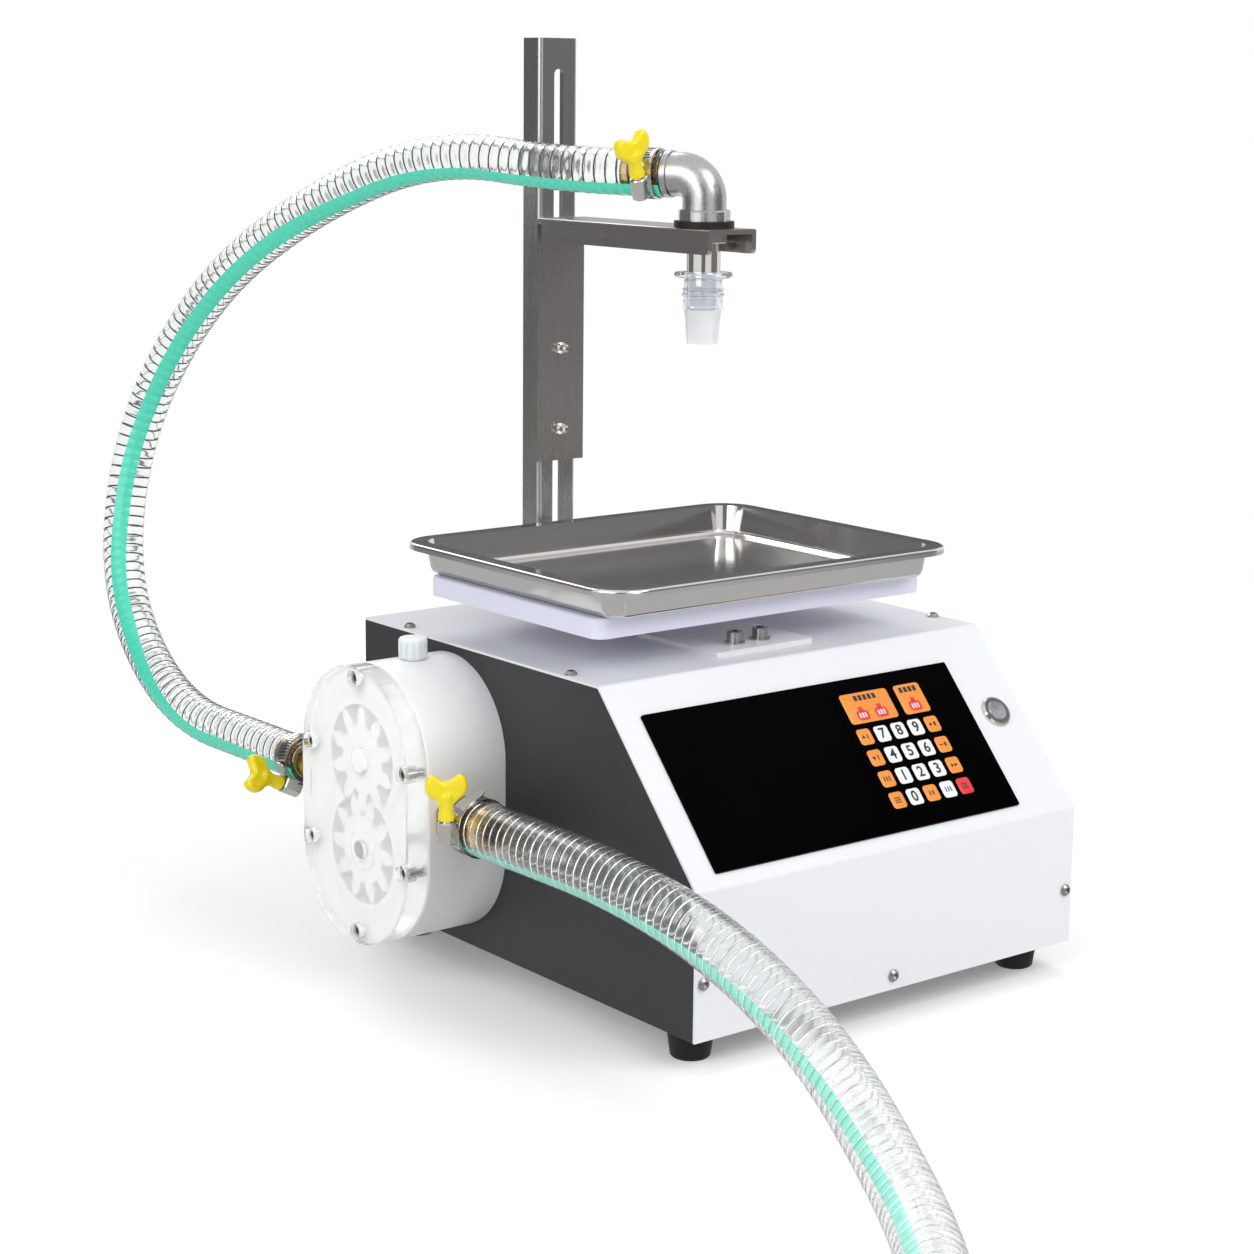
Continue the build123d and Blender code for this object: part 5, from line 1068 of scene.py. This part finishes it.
def sign_shapes(kind, thickness):
    """Plain sign of an orange key, from its bars and wedges in millimetres."""
    shapes = []
    for shape, x, y, *size in SIGNS[kind]:
        if shape == "bar":
            wide, tall = (value / 2 for value in size)
            points = [(x - wide, y - tall), (x + wide, y - tall), (x + wide, y + tall),
                      (x - wide, y + tall)]
        else:
            reach, turn = size
            angles = [math.radians(turn + 120 * step) for step in range(3)]
            points = [(x + reach * math.cos(angle), y + reach * math.sin(angle))
                      for angle in angles]
        points = [(u * 0.001, v * 0.001) for u, v in points]
        shapes.append(polygon_mesh(points, thickness))
    return shapes


BOX = ("bar", 1.7, 0, 1.6, 2.8)
SIGNS = {
    "up": [("wedge", -1.5, 0, 1.7, 90), ("bar", 1.7, 0, 0.9, 3)],
    "down": [("wedge", -1.5, 0, 1.7, -90), ("bar", 1.7, 0, 0.9, 3)],
    "bars": [("bar", x, 0, 0.9, 3.2) for x in (-2, 0, 2)],
    "lines": [("bar", 0, y, 4.6, 0.7) for y in (-1.4, 0, 1.4)],
    "plus": [("bar", -1.7, 0, 2.6, 0.8), ("bar", -1.7, 0, 0.8, 2.6), BOX],
    "minus": [("bar", -1.7, 0, 2.6, 0.8), BOX],
    "next": [("wedge", -1.6, 0, 1.6, 0), ("wedge", 1.3, 0, 1.6, 0)],
    "stop": [("bar", x, 0, 1.0, 3.0) for x in (-1.3, 1.3)],
}
KEY_ROWS = [
    ("up", "7", "8", "9", "plus"),
    ("down", "4", "5", "6", "minus"),
    ("bars", "1", "2", "3", "next"),
    ("lines", "0", "o:stop", "w:bars", "r:lines"),
]
KEY_COLOURS = {"o": "orange_print", "w": "white_print", "r": "red_print"}


def make_keys(sizes):
    """Coloured key tops; returns the digits and plain signs for them."""
    tops = {colour: [] for colour in ("white_print", "orange_print", "red_print")}
    marks = []
    for row, entries in enumerate(KEY_ROWS):
        for column, entry in enumerate(entries):
            x = KEY_FIRST_X + column * sizes.pad_pitch_x
            s = KEY_FIRST_S + row * sizes.pad_pitch_s
            colour = KEY_COLOURS.get(
                entry[0] if ":" in entry else "",
                "white_print" if entry.isdigit() else "orange_print")
            tops[colour].append(slope_matrix(x, s, PAD_TOP).translation)
            if entry.isdigit():
                shapes = [text_mesh(entry, DIGIT_SIZE, MARK_HEIGHT)]
            else:
                shapes = sign_shapes(entry.split(":")[-1], MARK_HEIGHT)
            top = slope_matrix(x, s, PRINT_TOP)
            marks += [placed(shape, top) for shape in shapes]
    turn = slope_matrix(0, 0, 0)
    turn.translation = (0, 0, 0)
    pad = rounded_plate(sizes.pad_size, sizes.pad_size, PRINT_HEIGHT, *PAD_CORNER)
    unit = linked("key_unit", placed(pad, turn))
    for colour, places in tops.items():
        mesh = grown(
            linked("key_points", mesh_of(places, [])), "Repeat At Points", Unit=unit,
            Material=FINISHES[colour])
        piece(colour.replace("_print", "_keys"), mesh, "machine", colour)
    bpy.data.objects.remove(unit)
    return marks


def make_keypad(sizes):
    """Keys with their marks, and the two blocks with signs above them."""
    marks = make_keys(sizes)
    blocks, signs, lights = [], [], []

    def plate(group, x, s, height, *size):
        group.append(placed(rounded_plate(*size), slope_matrix(x, s, height)))

    for left, right, count in BLOCKS:
        centre = (left + right) / 2
        plate(blocks, centre, BLOCK_S, PAD_TOP, right - left, BLOCK_DEPTH, PRINT_HEIGHT,
              *PAD_CORNER)
        dashes = 3 + count
        for index in range(dashes):
            x = centre + (index - (dashes - 1) / 2) * DASH_PITCH
            plate(marks, x, DASH_S, PRINT_TOP, *DASH)
        for index in range(count):
            x = centre + (index - (count - 1) / 2) * SIGN_PITCH
            plate(signs, x, SIGN_S, PRINT_TOP, *SIGN)
            plate(signs, x, SIGN_FOOT_S, PRINT_TOP, *SIGN_FOOT)
            for offset in (-LIGHT_PITCH, 0.0, LIGHT_PITCH):
                plate(lights, x + offset, SIGN_S, PRINT_TOP + SIGN_HEIGHT, *LIGHT)
    for name, meshes, finish in (
        ("blocks", blocks, "orange_print"), ("red_signs", signs, "red_print"),
        ("light_signs", lights, "white_print"), ("marks", marks, "ink"),
    ):
        piece("keypad_" + name, joined(meshes), "machine", finish)


# Pump, platform and nozzle details

def loose_copy(node, offset):
    """Merged copy of a solid, moved by a hair so that no face lies in its neighbour's."""
    mesh = frame["nodes"][node].data.copy()
    build = bmesh.new()
    build.from_mesh(mesh)
    bmesh.ops.remove_doubles(build, verts=build.verts, dist=MERGE)
    bmesh.ops.dissolve_limit(
        build, angle_limit=math.radians(0.5), verts=build.verts, edges=build.edges)
    build.to_mesh(mesh)
    build.free()
    for layer in ("custom_normal", "sharp_edge", "sharp_face"):
        if layer in mesh.attributes:
            mesh.attributes.remove(mesh.attributes[layer])
    return placed(mesh, Matrix.Translation(offset))


def make_clear_parts():
    """Clear pump cover, frosted on its inner face, and the load cell's clear plate."""
    cover = painted(loose_copy("pump_cover", (-HAIR, 0, 0)), "pump_clear", "pump_frost")
    inside = max(vertex.co.x for vertex in cover.vertices) - FACE_BAND
    for polygon in cover.polygons:
        polygon.material_index = int(polygon.center.x > inside)
    plate = painted(loose_copy("cell_plate", (0, 0, HAIR)), "clear_acrylic")
    for node, mesh in (("pump_cover", cover), ("cell_plate", plate)):
        obj = piece(node + "_clear", mesh, "machine", None, 30)
        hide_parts(node)


def make_nozzle():
    """Clear sleeve on the nipple: dished flange, two rings and a lower step."""
    low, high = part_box("nozzle_adapter")
    centre = (low + high) / 2
    bore, body, flange = 0.0081, 0.0117, (high.x - low.x) / 2
    height = high.z - low.z
    profile = [
        (bore, 0.0), (body, 0.0), (body + 0.0003, 0.0004), (body + 0.0003, 0.0046),
        (body, 0.0050), (body, 0.0074), (body + 0.0009, 0.0078),
        (body + 0.0009, 0.0090),
        (body, 0.0094), (body - 0.0002, 0.0106), (body + 0.0007, 0.0110),
        (body + 0.0007, 0.0120), (body - 0.0002, 0.0124),
        (body - 0.0004, height - 0.0050), (body + 0.0004, height - 0.0036),
        (flange - 0.0012, height - 0.0032),
        (flange - 0.0002, height - 0.0026), (flange, height - 0.0014),
        (flange - 0.0006, height - 0.0004), (flange - 0.0016, height - 0.0002),
        (body + 0.0012, height - 0.0009), (body + 0.0004, height), (bore, height),
    ]
    place = Matrix.Translation((centre.x, centre.y, low.z))
    obj = piece(
        "nozzle_sleeve", placed(ring_lathe(profile, 64), place), "carriage",
        "clear_plastic", 35)
    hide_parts("nozzle_adapter")


def make_pump_details(sizes):
    """Knurled ribs round the relief plug."""
    low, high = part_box("relief_plug")
    centre = (low + high) / 2
    radius = (high.x - low.x) / 2
    rib = block((0.0006, 0.00055, 0.0085), (radius - 0.0001, 0, 0))
    ribs = grown(
        linked("rib", rib), "Repeat Round", Count=sizes.knurl_count, First_Angle=0.0,
        Sweep=2 * math.pi, Material=FINISHES["white_plastic"])
    place = Matrix.Translation((centre.x, centre.y, high.z - 0.0062))
    piece("relief_plug_knurls", placed(ribs, place), "relief_plug",
          "white_plastic")


# Finishes of the solids that stay as they are

NODE_FINISHES = {
    "carriage_arm": "arm_steel",
    # The shaft end and these screws take the darker steel, with painted shade and dark
    # reflections
    "drive_shaft": "journal_steel",
    "cell_screws": "journal_steel",
    "cover_screws": "journal_steel",
    "carriage_screws": "polished_steel",
}


def dress_nodes():
    """Gives every carried-over solid its finish."""
    for name, obj in frame["nodes"].items():
        for slot in obj.material_slots:
            finish = NODE_FINISHES.get(name, slot.material.name.split(".")[0])
            slot.material = FINISHES[finish]


# Stage

def make_camera():
    azimuth = math.radians(CAMERA_AZIMUTH)
    elevation = math.radians(CAMERA_ELEVATION)
    roll = math.radians(CAMERA_ROLL)
    right = Vector((math.cos(azimuth), math.sin(azimuth), 0))
    back = Vector((
        math.sin(azimuth) * math.cos(elevation),
        -math.cos(azimuth) * math.cos(elevation), math.sin(elevation)))
    up = back.cross(right)
    level = right * math.cos(roll) + up * math.sin(roll)
    upright = up * math.cos(roll) - right * math.sin(roll)
    camera = bpy.data.cameras.new("camera")
    camera.lens = CAMERA_LENS
    camera.sensor_width = SENSOR_WIDTH
    camera.sensor_fit = "HORIZONTAL"
    camera.clip_end = 50
    obj = linked("camera", camera)
    obj.matrix_world = axes_matrix(CAMERA_PLACE, level, upright, back)
    bpy.context.scene.camera = obj


def add_light(name, place, target, size, power):
    light = bpy.data.lights.new(name, "AREA")
    light.shape = "SQUARE"
    light.size = size
    light.energy = power
    aim = (Vector(target) - Vector(place)).to_track_quat("-Z", "Y")
    obj = linked(name, light)
    obj.matrix_world = Matrix.Translation(place) @ aim.to_matrix().to_4x4()


def grey(value):
    return (value, value, value, 1)


def mixed_shaders(tree, share, first, second):
    """Two shaders mixed by a share of the second."""
    return add_node(tree, "ShaderNodeMixShader", {0: share, 1: first, 2: second})[0]


def seen_rays(tree):
    """One for camera, glossy and transmission rays, nought for the others."""
    rays = add_node(tree, "ShaderNodeLightPath")
    seen = math_node(tree, "MAXIMUM", rays["Is Camera Ray"], rays["Is Glossy Ray"])
    return math_node(tree, "MAXIMUM", seen, rays["Is Transmission Ray"])


def make_world():
    """Soft blue-white light all round, seen as plain white."""
    world = bpy.data.worlds.new("studio")
    world.use_nodes = True
    bpy.context.scene.world = world
    tree = world.node_tree
    ambient = tree.nodes["Background"]
    fill(tree, ambient, {"Color": (0.95, 0.97, 1.0, 1), "Strength": 0.55})
    white = add_node(
        tree, "ShaderNodeBackground", {"Color": grey(1), "Strength": 1.0})[0]
    mix = mixed_shaders(tree, seen_rays(tree), ambient.outputs[0], white)
    fill(tree, tree.nodes["World Output"], {"Surface": mix})


def staged(name, corners):
    """Four-cornered sheet of the stage, with an empty material, and its tree."""
    sheet = linked(name, mesh_of(corners, [(0, 1, 2, 3)]))
    material = bpy.data.materials.new(name)
    material.use_nodes = True
    tree = material.node_tree
    tree.nodes.remove(tree.nodes["Principled BSDF"])
    sheet.data.materials.append(material)
    return sheet, tree


def level_corners(reach, height):
    return [(-reach, -reach, height), (reach, -reach, height), (reach, reach, height),
            (-reach, reach, height)]


def standing_corners(turn, distance, width, low, high):
    """Corners of an upright card that faces the machine from one side."""
    away = Vector((math.cos(math.radians(turn)), math.sin(math.radians(turn)), 0))
    side = Vector((-away.y, away.x, 0)) * width / 2
    left, right = away * distance - side, away * distance + side
    return [(*left.xy, low), (*right.xy, low), (*right.xy, high), (*left.xy, high)]


def make_floor():
    """Pale floor that keeps the shadow near the machine and fades to white round it."""
    floor, tree = staged("floor", level_corners(8, 0))
    plain = add_node(tree, "ShaderNodeBsdfDiffuse", {"Color": grey(0.78)})[0]
    pale = add_node(tree, "ShaderNodeBsdfDiffuse", {"Color": grey(0.88)})[0]
    lift = add_node(tree, "ShaderNodeEmission", {"Color": grey(1), "Strength": 0.20})[0]
    near = add_node(tree, "ShaderNodeAddShader", {0: pale, 1: lift})[0]
    far = add_node(tree, "ShaderNodeEmission", {"Strength": 1.0})[0]
    place = add_node(tree, "ShaderNodeTexCoord")["Object"]
    distance = add_node(tree, "ShaderNodeVectorMath", {0: place}, operation="LENGTH")
    fade = add_node(tree, "ShaderNodeMapRange", {
        "Value": distance["Value"], "From Min": 0.7, "From Max": 1.6})["Result"]
    shown = mixed_shaders(tree, fade, near, far)
    mix = mixed_shaders(tree, seen_rays(tree), plain, shown)
    fill(tree, tree.nodes["Material Output"], {"Surface": mix})


def add_card(name, corners, shade):
    """Grey card round the set or over the floor that only reflections see."""
    card, tree = staged(name, corners)
    glow = add_node(tree, "ShaderNodeEmission", {"Color": grey(shade)})[0]
    fill(tree, tree.nodes["Material Output"], {"Surface": glow})
    for ray in ("camera", "diffuse", "transmission", "volume_scatter", "shadow"):
        setattr(card, "visible_" + ray, False)


def make_stage():
    """Camera, world, floor, three soft lights and the cards that metal reflects."""
    bpy.context.scene.view_settings.view_transform = "Standard"
    make_camera()
    make_world()
    make_floor()
    add_light("key_light", (0.6, -1.9, 1.9), (0, 0, 0.2), 1.6, 34)
    add_light("fill_light", (-2.2, -0.6, 1.2), (0, 0, 0.2), 1.8, 22)
    add_light("back_light", (0.4, 2.0, 1.8), (0, 0, 0.25), 1.6, 22)
    add_card("card_front", standing_corners(-49, 1.5, 1.5, -0.01, 1.5), 0.23)
    add_card("card_side", standing_corners(131, 1.5, 1.5, -0.01, 1.5), 0.20)
    add_card("card_back", standing_corners(49, 1.7, 1.3, 0.30, 0.72), 0.12)
    add_card("card_camera", standing_corners(-131, 1.9, 0.9, -0.01, 1.4), 0.20)
    add_card("card_floor", level_corners(2, 0.0005), 0.60)


# Operators

class FILLER_OT_stage(Operator):
    """Camera, world, floor, lights and the cards that metal reflects"""

    bl_idname = "filler.stage"
    bl_label = "Stage"

    def execute(self, context):
        make_stage()
        return {"FINISHED"}


class FILLER_OT_hoses(Operator):
    """All finishes, and the clear hoses with their wire and stripe"""

    bl_idname = "filler.hoses"
    bl_label = "Hoses"

    def execute(self, context):
        make_finishes(context.scene.filler_colours)
        make_hoses(context.scene.filler_sizes)
        return {"FINISHED"}


class FILLER_OT_clamps(Operator):
    """Steel bands and barrels, band slots as dark plates of painted shade, worm screws and keys
    of the hose clamps
    """

    bl_idname = "filler.clamps"
    bl_label = "Hose clamps"

    def execute(self, context):
        make_clamps(context.scene.filler_sizes)
        return {"FINISHED"}


class FILLER_OT_keypad(Operator):
    """Key tops, digits and signs of the keypad"""

    bl_idname = "filler.keypad"
    bl_label = "Keypad"

    def execute(self, context):
        make_keypad(context.scene.filler_sizes)
        return {"FINISHED"}


class FILLER_OT_pump(Operator):
    """Clear pump cover and load cell plate, and the relief plug's knurls"""

    bl_idname = "filler.pump"
    bl_label = "Clear plates and pump details"

    def execute(self, context):
        make_clear_parts()
        make_pump_details(context.scene.filler_sizes)
        return {"FINISHED"}


class FILLER_OT_nozzle(Operator):
    """Clear sleeve of the nozzle"""

    bl_idname = "filler.nozzle"
    bl_label = "Nozzle sleeve"

    def execute(self, context):
        make_nozzle()
        return {"FINISHED"}


class FILLER_OT_finishes(Operator):
    """Finishes of the solids that stay as they are"""

    bl_idname = "filler.finishes"
    bl_label = "Finishes"

    def execute(self, context):
        dress_nodes()
        return {"FINISHED"}


MAKING = (
    FILLER_OT_stage, FILLER_OT_hoses, FILLER_OT_clamps, FILLER_OT_keypad, FILLER_OT_pump,
    FILLER_OT_nozzle, FILLER_OT_finishes,
)


class FILLER_PT_machine(Panel):
    """Sizes, colours and making of the machine"""

    bl_idname = "FILLER_PT_machine"
    bl_label = "Filling Machine"
    bl_space_type = "VIEW_3D"
    bl_region_type = "UI"
    bl_category = "Filling Machine"

    def draw(self, context):
        for operator in MAKING:
            self.layout.operator(operator.bl_idname)
        for group in (context.scene.filler_sizes, context.scene.filler_colours):
            box = self.layout.box()
            for name in group.__annotations__:
                box.prop(group, name)


CLASSES = (FillerSizes, FillerColours, *MAKING, FILLER_PT_machine)


def register():
    for made in CLASSES:
        bpy.utils.register_class(made)
    bpy.types.Scene.filler_sizes = PointerProperty(type=FillerSizes)
    bpy.types.Scene.filler_colours = PointerProperty(type=FillerColours)


def unregister():
    del bpy.types.Scene.filler_sizes
    del bpy.types.Scene.filler_colours
    for made in reversed(CLASSES):
        bpy.utils.unregister_class(made)


def main():
    register()
    bpy.ops.filler.stage()
    bpy.ops.filler.hoses()
    bpy.ops.filler.clamps()
    bpy.ops.filler.keypad()
    bpy.ops.filler.pump()
    bpy.ops.filler.nozzle()
    bpy.ops.filler.finishes()


if __name__ == "__main__":
    main()
